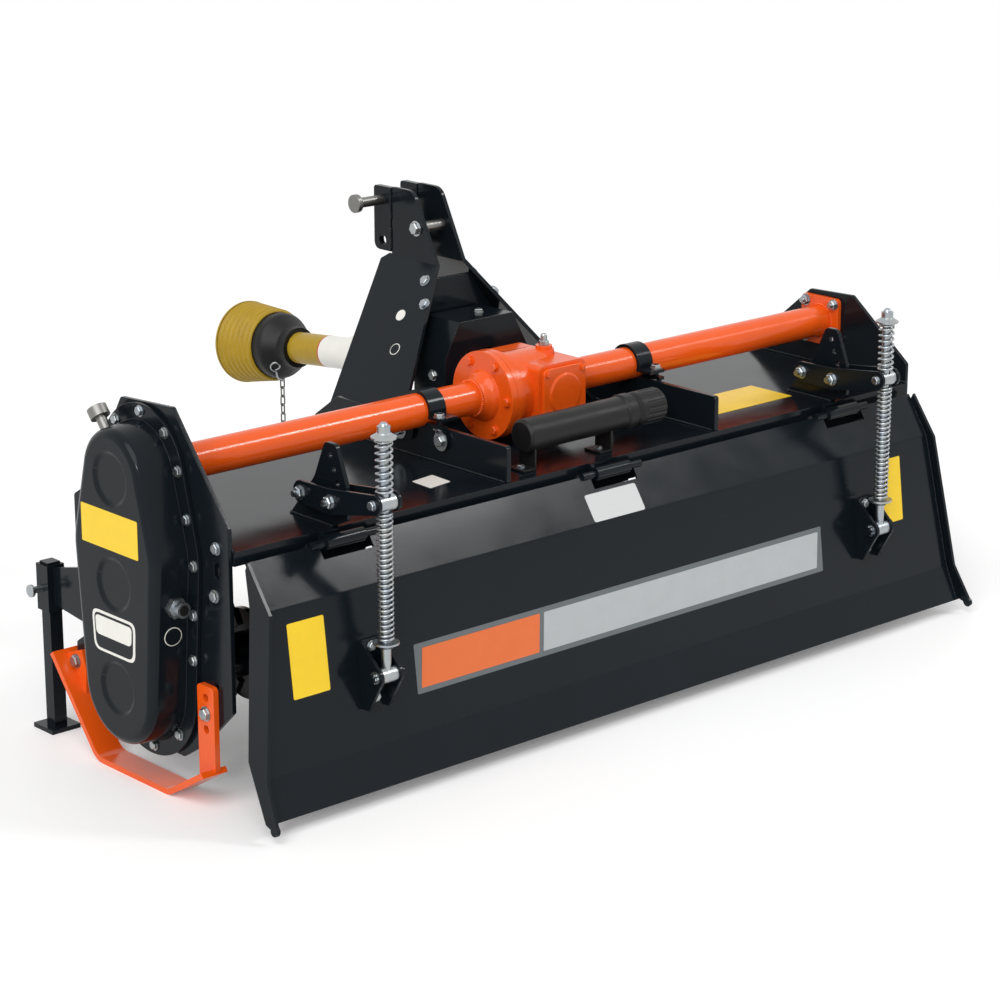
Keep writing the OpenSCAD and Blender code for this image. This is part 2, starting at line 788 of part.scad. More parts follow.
// Tube clamps: an upper strap bolted to a saddle on the outside of each base plate
module tube_clamp() {
    ear = 30;
    bolt_r = 5.5;
    seat_r = tube_r + seat_gap;
    half = seat_r + clamp_t + ear;
    upper_z = tube_z - 10;
    lower_z = upper_z - 14;
    foot_z = deck_z + 28;
    difference() {
        union() {
            bar_x(-clamp_w / 2, clamp_w / 2, drive_y, tube_z, seat_r + clamp_t);
            translate([-clamp_w / 2, drive_y - half, upper_z]) cube([clamp_w, 2 * half, clamp_t]);
        }
        bar_x(-clamp_w, clamp_w, drive_y, tube_z, seat_r);
        translate([-clamp_w, drive_y - 2 * half, upper_z - 4 * tube_r])
            cube([2 * clamp_w, 4 * half, 4 * tube_r]);
    }
    difference() {
        union() {
            translate([-clamp_w / 2, drive_y - half, lower_z])
                cube([clamp_w / 2 - base_t / 2 - seat_gap, 2 * half, clamp_t]);
            plate_x(-base_t / 2 - seat_gap - clamp_t, clamp_t)
                polygon(softened([[drive_y - half, lower_z + clamp_t], [drive_y - half, foot_z],
                    [drive_y - half + 44, foot_z], [drive_y - 18, foot_z + 24], [drive_y + 18, foot_z + 24],
                    [drive_y + half - 44, foot_z], [drive_y + half, foot_z],
                    [drive_y + half, lower_z + clamp_t]], [0, 18, 12, 0, 0, 12, 18, 0]));
        }
        bar_x(-clamp_w, clamp_w, drive_y, tube_z, seat_r);
    }
    for (dir = [-1, 1])
        translate([-clamp_w / 4 - 2, drive_y + dir * (half - ear / 2), lower_z - 8])
            cylinder(h = upper_z - lower_z + clamp_t + 16, r = bolt_r);
}

module tube_clamps() {
    color(paint_black) placed() translate([hitch_x, 0, 0]) for (side = [0, 1]) mirror([side, 0, 0])
        translate([-base_mid, 0, 0]) tube_clamp();
}

module lower_hitch() {
    ear_t = 10;
    ear_gap = 50;
    ear_r = 28;
    pin_y = deck_front_y + hitch_ahead;
    top = deck_z - 6;
    bottom = deck_z - deck_t - beam_h;
    color(paint_black) placed() for (side = [-1, 1]) for (x = [-ear_gap / 2 - ear_t, ear_gap / 2])
        translate([hitch_x + side * hitch_w / 2, 0, 0]) difference() {
            plate_x(x, ear_t) {
                polygon([[deck_front_y, bottom], [deck_front_y, top], [deck_front_y + 30, top],
                    [pin_y + ear_r * 0.7, hitch_z + ear_r * 0.7], [pin_y, hitch_z - ear_r]]);
                translate([pin_y, hitch_z]) circle(ear_r);
            }
            bar_x(x - cut, x + ear_t + cut, pin_y, hitch_z, hitch_pin_r + seat_gap);
        }
}

module lower_pins() {
    inside = 42;
    outside = 100;
    pin_y = deck_front_y + hitch_ahead;
    color(zinc) placed() for (side = [-1, 1]) {
        middle = hitch_x + side * hitch_w / 2;
        bar_x(min(middle - side * inside, middle + side * outside),
            max(middle - side * inside, middle + side * outside), pin_y, hitch_z, hitch_pin_r);
        bar_x(middle + side * 46 - 6, middle + side * 46 + 6, pin_y, hitch_z, hitch_pin_r + 7);
    }
}

// Skids: bent flat bars with a front gusset and a drilled riser, bolted to the side plates
riser_y = drive_y - 158;

module skid() {
    path = [[skid_front_y, skid_front_z], [skid_half, skid_t / 2], [-skid_half, skid_t / 2],
        [riser_y - 20, 62]];
    plate_x(skid_x0, skid_w) polygon(sheet_outline(rounded(path, skid_bend), -skid_t / 2, skid_t / 2));
    difference() {
        plate_x(plate_out, skid_t)
            polygon(softened([[riser_y - riser_w / 2, riser_top], [riser_y + riser_w / 2, riser_top],
                [riser_y + riser_w / 2, 38], [riser_y - riser_w / 2, 62]], [8, 8, 0, 0]));
        for (i = [0 : 2])
            bar_x(plate_out - cut, plate_out + skid_t + cut, riser_y, riser_top - 21 - i * riser_pitch, 7);
    }
    plate_x(plate_out, 8)
        polygon([[skid_front_y - 4, skid_front_z - 4], [skid_front_y - 50, skid_front_z + 12],
            [skid_front_y - 62, skid_front_z - 20], [skid_front_y - 58, skid_front_z - 75]]);
}

module skids() {
    color(paint_orange) placed() {
        skid();
        mirror([1, 0, 0]) skid();
    }
}

// Parking stand at the left front corner
stand_x = -plate_out + plate_t / 2;
stand_top_z = 300;
sleeve_low_z = 217;
sleeve_w = leg_w + 2 * stand_gap + 2 * stand_wall;
stand_pin_r = 6;
stand_pin_z = 258;

module stand_sleeve() {
    color(paint_black) placed() difference() {
        union() {
            translate([stand_x - sleeve_w / 2, stand_y - sleeve_w / 2, sleeve_low_z])
                cube([sleeve_w, sleeve_w, stand_top_z - sleeve_low_z]);
            plate_x(-plate_out, plate_t)
                polygon([[plate_front_y, stand_top_z + 24], [stand_y - sleeve_w / 2, stand_top_z - 4],
                    [stand_y - sleeve_w / 2, sleeve_low_z + 12], [plate_front_y, sleeve_low_z - 1]]);
        }
        translate([stand_x - leg_w / 2 - stand_gap, stand_y - leg_w / 2 - stand_gap, 0])
            cube([leg_w + 2 * stand_gap, leg_w + 2 * stand_gap, 2 * stand_top_z]);
        bar_x(stand_x - sleeve_w, stand_x + sleeve_w, stand_y, stand_pin_z, stand_pin_r + seat_gap);
    }
}

module stand_leg() {
    foot_t = 8;
    color(paint_black) placed() difference() {
        union() {
            translate([stand_x - leg_w / 2, stand_y - leg_w / 2, 0])
                cube([leg_w, leg_w, stand_top_z + 4]);
            translate([stand_x - foot_w / 2, stand_y - foot_w / 2, 0])
                cube([foot_w, foot_w, foot_t]);
        }
        bar_x(stand_x - leg_w, stand_x + leg_w, stand_y, stand_pin_z, stand_pin_r + seat_gap);
    }
}

module stand_pin() {
    color(zinc) placed() {
        bar_x(stand_x - sleeve_w / 2 - 20, stand_x + sleeve_w / 2 + 14, stand_y, stand_pin_z,
            stand_pin_r);
        bar_x(stand_x - sleeve_w / 2 - 26, stand_x - sleeve_w / 2 - 20, stand_y, stand_pin_z,
            stand_pin_r + 5);
    }
}

// Spring rod supports on the deck
bracket_z = trunnion_z - 18;
bracket_rear_y = deck_rear_y - bracket_over;
bracket_t = 8;

module spring_brackets() {
    color(paint_black) placed() for (side = [-1, 1]) translate([side * rod_spacing / 2, 0, 0]) {
        difference() {
            plate_x(-bracket_t / 2, bracket_t)
                polygon(softened([[deck_rear_y + 4, deck_z], [bracket_rear_y, deck_z + 18],
                    [bracket_rear_y, bracket_z + 20], [bracket_rear_y + 28, bracket_z + 90],
                    [bracket_rear_y + 56, bracket_z + 90], [bracket_rear_y + 84, bracket_z + 26],
                    [bracket_rear_y + 148, deck_z]], [0, 8, 40, 12, 12, 60, 0]));
            for (step = [0 : 2])
                bar_x(-bracket_t, bracket_t, bracket_rear_y + 42 - 9 * step,
                    bracket_z + 70 - 22 * step, 5);
        }
        for (y = [bracket_rear_y + 20, bracket_rear_y + 20 + bracket_pitch])
            bar_x(-arm_gap / 2, arm_gap / 2, y, bracket_z, 10);
    }
}

module spring_arms() {
    end_r = 17;
    color(paint_black) placed() for (side = [-1, 1])
        for (x = [-arm_gap / 2 - arm_t, arm_gap / 2])
            translate([side * rod_spacing / 2, 0, 0]) difference() {
                plate_x(x, arm_t) {
                    belt([rod_y, trunnion_z], end_r, [bracket_rear_y + 20, bracket_z], 22, 0.4);
                    belt([bracket_rear_y + 20, bracket_z], 22,
                        [bracket_rear_y + 20 + bracket_pitch, bracket_z], 20, 0.4);
                }
                bar_x(x - cut, x + arm_t + cut, rod_y, trunnion_z, 6 + run_gap);
            }
}

// Tube for the manual, on two feet behind the gearbox
manual_x = hitch_x - 184;

module manual_tube() {
    color(plastic_black) placed() turned_x(manual_x, manual_y, manual_z)
        polygon([[0, 0], [manual_r - 5, 0], [manual_r, 5], [manual_r, manual_len - 22],
            [manual_r + 3, manual_len - 20], [manual_r + 3, manual_len], [0, manual_len]]);
}

module manual_cap() {
    cap_len = 72;
    grip_n = 18;
    color(plastic_black) placed() difference() {
        turned_x(manual_x + manual_len, manual_y, manual_z)
            polygon([[0, 0], [manual_r - 2, 0], [manual_r - 2, 6], [manual_r + 2, 14],
                [manual_r + 2, cap_len - 3], [manual_r - 1, cap_len], [0, cap_len]]);
        for (i = [0 : grip_n - 1])
            translate([0, manual_y, manual_z]) rotate([360 * i / grip_n, 0, 0])
                bar_x(manual_x + manual_len + 24, manual_x + manual_len + cap_len + cut,
                    0, manual_r + 4, 3.5);
    }
}

module manual_brackets() {
    foot = 26;
    t = 4;
    color(plastic_black) placed() for (x = [manual_x + 14, manual_x + manual_len - 60]) difference() {
        union() {
            translate([x, manual_y - manual_r * 0.7, deck_z]) cube([t, manual_r * 1.4, manual_z - deck_z]);
            translate([x - foot, manual_y - manual_r * 0.7, deck_z]) cube([foot + t, manual_r * 1.4, t]);
        }
        bar_x(x - cut, x + t + cut, manual_y, manual_z, manual_r + seat_gap);
    }
}

// Driveline: a shaft in a plastic guard that slopes down to the tractor
joint_y = drive_y + 149;
collar_z = guard_len - bell_len - collar_back;
collar_len = 84;
journal_r = shaft_r + 4;
journal_len = 18;
rear_z = 68;
input_r = 17.5;

module on_driveline() {
    translate([hitch_x, joint_y, tube_z]) rotate([-90 - droop, 0, 0]) children();
}

// Outer edge of the ribbed bell, from its root to its mouth
rib_h = 3.5;

function bell_edge(out) = [for (i = [0 : bell_ribs - 1]) for (k = [0 : 3])
    let (f = (i + [0, 0.3, 0.5, 0.8][k]) / bell_ribs, bump = [0, rib_h, rib_h, 0][k])
    [bell_root_r + (bell_r - rib_h - bell_root_r) * f + out + bump, bell_len * f]];

module bell() {
    wall = 3;
    rotate_extrude() polygon(concat([[bell_root_r - wall, 0]], bell_edge(0),
        [[bell_r, bell_len - 6], [bell_r, bell_len], [bell_r - wall, bell_len]]));
}

module collar() {
    wall = 4;
    skirt = bell_root_r - 3 - seat_gap;
    rotate_extrude() polygon([[journal_r + run_gap, 0], [guard_r + 9, 0], [guard_r + 9, 22],
        [guard_r + 14, 28], [skirt - 4, 44], [skirt, 52], [skirt, collar_len],
        [skirt - wall, collar_len], [skirt - wall, 56], [guard_r + 10, 32],
        [journal_r + run_gap, journal_len]]);
}

module guard_bell() {
    color(guard_yellow) placed() on_driveline() translate([0, 0, guard_len - bell_len]) bell();
}

module guard_collar() {
    color(plastic_black) placed() on_driveline() translate([0, 0, collar_z]) collar();
}

module guard_tube() {
    low = rear_z + collar_len + outer_len - guard_lap;
    color(guard_yellow) placed() on_driveline() difference() {
        translate([0, 0, low]) cylinder(h = collar_z - low, r = guard_r);
        translate([0, 0, low - cut]) cylinder(h = collar_z, r = guard_r - guard_wall);
    }
}

module guard_outer_tube() {
    low = rear_z + collar_len;
    inner = guard_r + seat_gap;
    color(guard_yellow) placed() on_driveline() difference() {
        translate([0, 0, low]) cylinder(h = outer_len, r = inner + guard_wall);
        translate([0, 0, low - cut]) cylinder(h = outer_len + 2 * cut, r = inner);
    }
}

module guard_rear() {
    color(plastic_black) placed() on_driveline() {
        translate([0, 0, rear_z + collar_len]) mirror([0, 0, 1]) collar();
        translate([0, 0, -14]) difference() {
            cylinder(h = rear_z + 32, r1 = bell_root_r + 8, r2 = bell_root_r - 3 - seat_gap);
            translate([0, 0, -cut]) cylinder(h = rear_z + 32 + 2 * cut, r1 = bell_root_r + 5,
                r2 = bell_root_r - 7);
        }
    }
}

// Chain that keeps the guard from turning, hanging from a hook on the collar
module chain_link(length, width, wire) {
    r = (width - wire) / 2;
    straight = length - width;
    for (end = [0, 1]) translate([0, 0, (2 * end - 1) * straight / 2])
        rotate([90, 0, 180 * (1 - end)]) rotate([0, 0, end == 1 ? 0 : 180])
            rotate_extrude(angle = 180) translate([r, 0]) circle(wire / 2, $fn = 16);
    for (x = [-r, r]) translate([x, 0, -straight / 2]) cylinder(h = straight, r = wire / 2, $fn = 16);
}

module guard_chain() {
    wire = 3;
    length = 24;
    width = 12;
    link_n = 9;
    pitch = length - 2 * wire - 0.4;
    along = collar_z + 64;
    out = bell_root_r - 3 - seat_gap;
    hook_z = tube_z - along * sin(droop) - out * cos(droop);
    hook_y = joint_y + along * cos(droop) - out * sin(droop);
    color(zinc) placed() translate([hitch_x, hook_y, hook_z])
        for (i = [0 : link_n - 1])
            translate([0, 0, -seat_gap - length / 2 - i * pitch]) rotate([0, 0, 90 * (i % 2)])
                chain_link(length, width, wire);
}

// Rotor bearings and rotor
module bearing_left() {
    color(paint_black) placed() difference() {
        turned_x(-plate_in, drive_y, rotor_z)
            polygon([[0, 0], [58, 0], [58, 10], [40, 14], [40, 32], [0, 32]]);
        bar_x(-plate_in - cut, -plate_in + 32 + cut, drive_y, rotor_z, stub_r + run_gap);
    }
}

module bearing_right() {
    cap_len = 34;
    color(paint_black) placed() difference() {
        turned_x(plate_out, drive_y, rotor_z)
            polygon([[0, 0], [62, 0], [62, 10], [44, 13], [42, cap_len - 4], [36, cap_len], [0, cap_len]]);
        bar_x(plate_out - cut, plate_out + cap_len - 6, drive_y, rotor_z, stub_r + run_gap);
    }
}

module rotor_tube() {
    half = plate_in - 46;
    color(paint_black) placed() {
        bar_x(-half, half, drive_y, rotor_z, rotor_d / 2);
        for (x = [-half, half - 10]) bar_x(x, x + 10, drive_y, rotor_z, rotor_d / 2 + 14);
        bar_x(-plate_in, plate_out + 26, drive_y, rotor_z, stub_r);
    }
}

// One tine on the side of its flange: a strip bent over at its tip towards dir, cut to shape
module tine(dir) {
    tip = tine_r - 9;
    root_w = 44;
    root = rotor_d / 2 + 8;
    x0 = flange_t / 2 - 0.5;
    strip = rounded([[x0, root], [x0, tip], [x0 + tine_reach, tip]], tine_bend);
    mirror([dir > 0 ? 0 : 1, 0, 0]) intersection() {
        translate([0, 0, -root_w]) linear_extrude(2 * root_w + 20)
            polygon(sheet_outline(strip, -tine_t, 0));
        plate_x(-cut, tine_reach + flange_t + 2 * cut)
            polygon([[root - cut, -root_w / 2], [flange_r, -root_w / 2], [flange_r + 22, -root_w / 2 + 6],
                [flange_r + 46, 0], [tip - 12, 12], [tip + cut, 20], [tip + cut, 56],
                [tip - 14, 50], [flange_r + 34, 36], [flange_r + 8, root_w / 2],
                [root - cut, root_w / 2]]);
    }
}

module rotor_tines() {
    color(paint_black) placed() for (i = [0 : flange_n - 1])
        translate([(i - (flange_n - 1) / 2) * flange_pitch, drive_y, rotor_z]) rotate([20 * i, 0, 0]) {
            difference() {
                bar_x(-flange_t / 2, flange_t / 2, 0, 0, flange_r);
                bar_x(-flange_t, flange_t, 0, 0, rotor_d / 2);
            }
            for (k = [0 : tine_n - 1])
                rotate([360 * k / tine_n, 0, 0]) tine(k % 2 == 0 ? 1 : -1);
        }
}

// Driveline shaft: a socket round the gearbox's input, a cross joint and a splined yoke in the bell
cross_z = guard_len - 90;
yoke_z = cross_z + 30;
yoke_len = 34;

module pto_shaft() {
    ear_w = 40;
    ear_t = 14;
    ear_x = 34;
    ear_z = collar_z + journal_len + 26;
    color(zinc) placed() on_driveline() difference() {
        union() {
            cylinder(h = ear_z, r = shaft_r);
            translate([0, 0, -16]) cylinder(h = 46, r = input_r + 12);
            for (z = [rear_z + collar_len - journal_len, collar_z])
                translate([0, 0, z]) cylinder(h = journal_len, r = journal_r);
            translate([0, 0, ear_z - 14]) cylinder(h = 28, r = 30);
            for (side = [-1, 1]) {
                translate([side * ear_x - ear_t / 2, -ear_w / 2, ear_z])
                    cube([ear_t, ear_w, cross_z + 14 - ear_z]);
                translate([-ear_w / 2, side * ear_x - ear_t / 2, cross_z - 14])
                    cube([ear_w, ear_t, 50]);
            }
            bar_x(-ear_x - 9, ear_x + 9, 0, cross_z, 11);
            translate([0, -ear_x - 9, cross_z]) rotate([-90, 0, 0]) cylinder(h = 2 * ear_x + 18, r = 11);
            translate([0, 0, yoke_z]) cylinder(h = yoke_len, r = 32);
        }
        translate([0, 0, cross_z + 18]) cylinder(h = 60, r = spline_r);
        translate([0, 0, -16 - cut]) cylinder(h = 22 + cut, r = input_r + 2);
    }
}

// Door: a sheet with two creases, wider at its lip than at its hinge
door_line = [[hinge_y, hinge_z], [crease_y, crease_z], [lip_y, lip_z], [edge_y, edge_z]];

notch_w = sleeve_len + 24;
notch_depth = sleeve_r + 14;

module door_panel() {
    wide = door_half_low + 100;
    run = door_line[1] - door_line[0];
    color(paint_black) placed() {
        difference() {
            plate_x(-wide, 2 * wide)
                polygon(sheet_outline(rounded(door_line, door_bend, 3), 0, door_t));
            for (side = [0, 1]) mirror([side, 0, 0]) {
                translate([door_half, edge_y - wide, crease_z]) cube([wide, 2 * wide, wide]);
                translate([door_half, edge_y - wide, crease_z]) rotate([0, -flare_angle, 0])
                    translate([0, 0, -wide]) cube([wide, 2 * wide, wide]);
            }
            for (i = [-1 : 1])
                translate([i * hinge_pitch - notch_w / 2, hinge_y, hinge_z])
                    rotate([atan2(run[1], run[0]), 0, 0])
                        translate([0, -notch_depth, -notch_depth])
                            cube([notch_w, 2 * notch_depth, 2 * notch_depth]);
        }
        for (i = [-1 : 1])
            bar_x(i * hinge_pitch - notch_w / 2 - 18, i * hinge_pitch + notch_w / 2 + 18,
                hinge_y, hinge_z, hinge_r);
    }
}

// End plates of the door, upright above the crease and flared below it
module end_lower() {
    polygon([[crease_y - end_proud, crease_z], [crease_y + end_depth, crease_z],
        [lip_y + end_depth, lip_z + 20], [tip_y + 22, tip_z + 4], [tip_y + tip_r, tip_z],
        [tip_y - tip_r + 2, tip_z + 2], [lip_y - end_proud, lip_z]]);
    translate([tip_y, tip_z]) circle(tip_r);
}

module door_ends() {
    color(paint_black) placed() for (side = [0, 1]) mirror([side, 0, 0]) {
        plate_x(door_half, end_t)
            polygon([[hinge_y - 10, hinge_z + 2], [hinge_y - 4, hinge_z - 10],
                [crease_y + end_depth, crease_z], [crease_y - end_proud, crease_z]]);
        translate([door_half, 0, crease_z]) rotate([0, -flare_angle, 0])
            translate([0, 0, -crease_z]) plate_x(0, end_t) end_lower();
    }
}

// Clevises that hold the rods' eyes on the door
pin_r = 8;
clevis_t = 6;

function panel_y(z) = crease_y + (crease_z - z) * (lip_y - crease_y) / (crease_z - lip_z);

module spring_clevises() {
    top = eye_z + 52;
    bottom = eye_z - 62;
    color(paint_black) placed() for (side = [-1, 1]) translate([side * rod_spacing / 2, 0, 0]) {
        plate_x(-arm_gap / 2 - cut, arm_gap + 2 * cut)
            polygon([[panel_y(top), top], [panel_y(bottom), bottom],
                [panel_y(bottom) - clevis_t, bottom], [panel_y(top) - clevis_t, top]]);
        for (x = [-arm_gap / 2 - clevis_t, arm_gap / 2])
            plate_x(x, clevis_t) {
                polygon([[panel_y(top), top], [panel_y(bottom), bottom],
                    [panel_y(bottom) - 14, bottom], [rod_y - 12, eye_z - 12],
                    [rod_y - 8, eye_z + 14], [panel_y(top) - 12, top]]);
                translate([rod_y, eye_z]) circle(17);
            }
        bar_x(-arm_gap / 2 - clevis_t - 10, arm_gap / 2 + clevis_t + 10, rod_y, eye_z, pin_r);
    }
}

// Spring rods
seat_z = eye_z + 57;
cap_z = trunnion_z + trunnion_r + 92;

module spring_rod(side) {
    eye_half = arm_gap / 2 - 0.5;
    translate([side * rod_spacing / 2, rod_y, 0]) difference() {
        union() {
            translate([0, 0, eye_z]) cylinder(h = rod_top_z - eye_z - rod_r, r = rod_r);
            translate([0, 0, rod_top_z - rod_r]) sphere(rod_r);
            bar_x(-eye_half, eye_half, 0, eye_z, pin_r + 5);
            translate([0, 0, seat_z]) rotate_extrude()
                polygon([[0, -10], [11, -10], [14, -7], [22, -3], [22, 0], [0, 0]]);
            translate([0, 0, cap_z]) rotate_extrude()
                polygon([[0, 0], [21, 0], [21, 3], [14, 7], [11, 10], [11, 20], [0, 20]]);
        }
        bar_x(-arm_gap, arm_gap, 0, eye_z, pin_r + run_gap);
    }
}

module rod_left() {
    color(zinc) placed() spring_rod(-1);
}

module rod_right() {
    color(zinc) placed() spring_rod(1);
}

module lower_spring(side) {
    translate([side * rod_spacing / 2, rod_y, 0])
        coil((lower_d - lower_wire) / 2, lower_wire, lower_turns, seat_z + seat_gap,
            trunnion_z - trunnion_r - seat_gap);
}

module lower_spring_left() {
    color(zinc) placed() lower_spring(-1);
}

module lower_spring_right() {
    color(zinc) placed() lower_spring(1);
}

module upper_spring(side) {
    translate([side * rod_spacing / 2, rod_y, 0])
        coil((upper_d - upper_wire) / 2, upper_wire, upper_turns, trunnion_z + trunnion_r + seat_gap,
            cap_z - seat_gap);
}

module upper_spring_left() {
    color(zinc) placed() upper_spring(-1);
}

module upper_spring_right() {
    color(zinc) placed() upper_spring(1);
}

module trunnion(side) {
    half = arm_gap / 2 - 0.5;
    translate([side * rod_spacing / 2, rod_y, trunnion_z]) difference() {
        union() {
            bar_x(-half, half, 0, 0, trunnion_r);
            bar_x(-half - arm_t - 8, half + arm_t + 8, 0, 0, 6);
        }
        translate([0, 0, -2 * trunnion_r]) cylinder(h = 4 * trunnion_r, r = rod_r + rod_gap);
    }
}

module trunnion_left() {
    color(zinc) placed() trunnion(-1);
}

module trunnion_right() {
    color(zinc) placed() trunnion(1);
}

side_plate_left();
side_plate_right();
deck();
front_beam();
deck_hinges();
cross_tube_left();
cross_tube_right();
gearbox();
gearbox_cover();
gearbox_breather();
gear_case();
oil_filler();
oil_sight();
mast_plate_left();
mast_plate_right();
mast_lugs();
mast_spacer();
top_link_pin();
mast_brace();
pto_shield();
base_plates();
tube_clamps();
lower_hitch();
lower_pins();
skids();
stand_sleeve();
stand_leg();
stand_pin();
spring_brackets();
spring_arms();
manual_tube();
manual_cap();
manual_brackets();
guard_bell();
guard_collar();
guard_tube();
guard_outer_tube();
guard_rear();
guard_chain();
bearing_left();
bearing_right();
rotor_tube();
rotor_tines();
pto_shaft();
door_panel();
door_ends();
spring_clevises();
rod_left();
rod_right();
lower_spring_left();
lower_spring_right();
trunnion_left();
trunnion_right();
upper_spring_left();
upper_spring_right();
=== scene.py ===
import json
from math import cos, pi, radians, sin

import bmesh
import bpy
from bpy.props import FloatProperty, FloatVectorProperty, IntProperty, PointerProperty
from mathutils import Matrix, Vector
from mathutils.bvhtree import BVHTree


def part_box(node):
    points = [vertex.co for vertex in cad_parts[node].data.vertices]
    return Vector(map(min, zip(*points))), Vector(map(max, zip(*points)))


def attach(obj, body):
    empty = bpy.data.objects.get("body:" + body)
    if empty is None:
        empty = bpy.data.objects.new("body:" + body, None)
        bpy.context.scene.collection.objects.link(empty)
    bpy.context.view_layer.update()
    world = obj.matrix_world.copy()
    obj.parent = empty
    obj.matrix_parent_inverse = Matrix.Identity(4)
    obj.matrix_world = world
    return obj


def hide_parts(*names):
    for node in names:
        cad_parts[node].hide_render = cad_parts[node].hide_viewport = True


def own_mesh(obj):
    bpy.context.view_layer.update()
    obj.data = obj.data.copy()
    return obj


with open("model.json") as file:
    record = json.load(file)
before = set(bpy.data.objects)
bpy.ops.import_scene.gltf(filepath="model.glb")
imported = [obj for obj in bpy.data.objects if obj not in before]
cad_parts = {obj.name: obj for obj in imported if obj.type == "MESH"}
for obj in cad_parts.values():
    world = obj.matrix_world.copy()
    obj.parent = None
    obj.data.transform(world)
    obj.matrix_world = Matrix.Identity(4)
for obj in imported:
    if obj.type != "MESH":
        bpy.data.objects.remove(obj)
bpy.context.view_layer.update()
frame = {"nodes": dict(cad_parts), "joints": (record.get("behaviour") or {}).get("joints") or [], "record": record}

bl_info = {
    "name": "Rotary tiller finish",
    "version": (1, 0, 0),
    "blender": (4, 5, 0),
    "location": "View3D > Sidebar > Tiller",
    "description": "Paint, fasteners, welds, springs, plates and the studio for a tractor's rotary tiller",
    "category": "Object",
}

NODES = frame["nodes"]
BODY_OF = {node: body for body, nodes in frame["record"]["behaviour"]["bodies"].items() for node in nodes}
SLOT_OF = {part["node"]: part["material_slot"] for part in frame["record"]["subparts"]}
JOINT_AT = {joint["name"]: Vector(joint["pos_m"]) for joint in frame["joints"]}

# Places on the drawing in millimetres: x to the right, y to the front, z up from the floor
DRIVE_Y, TUBE_Z, ROTOR_Z, DECK_Z = -19, 528, 172, 440
HITCH_X, PLATE_OUT, CASE_X = 30, 816, -888
ROD_X, ROD_Y, EYE_Z, TRUNNION_Z = 600, -361, 218, 507
# The drawing's zero in the frame, found from the rotor's axis
ZERO = JOINT_AT["rotor_spin"] - Vector((0.0, DRIVE_Y * 0.001, ROTOR_Z * 0.001))
# The driveline hangs from its joint, a little below level
JOINT_Y, DROOP = 130, radians(5.8)


def at(x, y, z):
    """A point of the drawing, given in millimetres, in the frame's metres."""
    return ZERO + Vector((x, y, z)) * 0.001


def linear(code):
    """The linear colour of an sRGB hex value."""
    parts = [int(code[i:i + 2], 16) / 255 for i in (0, 2, 4)]
    return tuple(c / 12.92 if c <= 0.04045 else ((c + 0.055) / 1.055) ** 2.4 for c in parts) + (1.0,)


def per(mm):
    """The scale of a pattern whose cells are so many millimetres wide."""
    return 1000.0 / mm


def feed(tree, node, sockets):
    """Gives a node's inputs, by name or number, a value or a link."""
    for key, value in dict(sockets).items():
        if isinstance(value, bpy.types.NodeSocket):
            tree.links.new(value, node.inputs[key])
        else:
            node.inputs[key].default_value = value


def add(tree, kind, sockets=(), **settings):
    """Adds a node with its settings and feeds its inputs."""
    node = tree.nodes.new(kind)
    for name, value in settings.items():
        setattr(node, name, value)
    feed(tree, node, sockets)
    return node


# Sizes and colours


def colour(name, description, code):
    """A colour a user may change."""
    return FloatVectorProperty(name=name, description=description, subtype="COLOR", size=4, min=0.0, max=1.0,
                               default=linear(code))


def length(name, description, mm):
    """A length a user may change."""
    return FloatProperty(name=name, description=description, default=mm * 0.001, min=0.0, unit="LENGTH")


class TillerColours(bpy.types.PropertyGroup):
    """Colours of the tiller's finishes."""
    black: colour("Black enamel", "Paint of the body, mast and door", "11171C")
    orange: colour("Orange enamel", "Paint of the tube, gearbox and skids", "EE5B14")
    zinc: colour("Bright zinc", "Plating of bolts, rods and springs", "ABAFB1")
    steel: colour("Machined steel", "Bare steel of the driveline", "8F8E8B")
    moulding: colour("Black mouldings", "Manual tube and the guard's collar", "151515")
    guard: colour("Guard yellow", "Driveline guard", "A98A22")
    sign: colour("Sign yellow", "Bare yellow plates", "F3CB12")
    foil: colour("Plate silver", "Bare name plate", "C9CBCB")
    stripe: colour("Stripe orange", "Warm part of the door's stripe", "DF6A2C")
    band: colour("Stripe grey", "Pale part of the door's stripe", "AEB2B4")
    ground: colour("Stripe ground", "Film under the door's stripe", "5D6366")


class TillerSizes(bpy.types.PropertyGroup):
    """Sizes of the tiller's small parts."""
    edge: length("Edge radius", "Rounding of cut and folded edges", 1.2)
    head: length("Head radius", "Corner radius of an M10 bolt's head", 9.6)
    head_height: length("Head height", "Height of an M10 bolt's head", 6.4)
    washer: length("Washer radius", "Radius of an M10 washer", 11.5)
    washer_height: length("Washer thickness", "Thickness of an M10 washer", 2.0)
    bead: length("Weld bead", "Half width of a weld bead", 3.2)
    bead_step: length("Weld step", "Distance between the ripples of a weld", 4.2)
    wire: length("Spring wire", "Radius of the springs' wire", 2.2)
    lower_turns: IntProperty(name="Lower turns", description="Turns of a lower spring", default=26, min=3)
    upper_turns: IntProperty(name="Upper turns", description="Turns of an upper spring", default=9, min=3)
    film: length("Film thickness", "Thickness of films and plates", 0.5)


# Finishes


def surface(name):
    """A material's tree, its shader and the piece's own coordinates."""
    material = bpy.data.materials.new(name)
    material.use_nodes = True
    tree = material.node_tree
    shader = tree.nodes["Principled BSDF"]
    return material, tree, shader, add(tree, "ShaderNodeTexCoord").outputs["Object"]


def tinted(tree, shader, share, base, dark, light):
    """Lets a surface drift between a darker and a lighter shade of its colour, by a pattern's share."""
    ends = [[min(1.0, c * shade) for c in base[:3]] + [1.0] for shade in (dark, light)]
    drift = add(tree, "ShaderNodeMix", {0: share, 6: ends[0], 7: ends[1]}, data_type="RGBA")
    feed(tree, shader, {"Base Color": drift.outputs[2]})


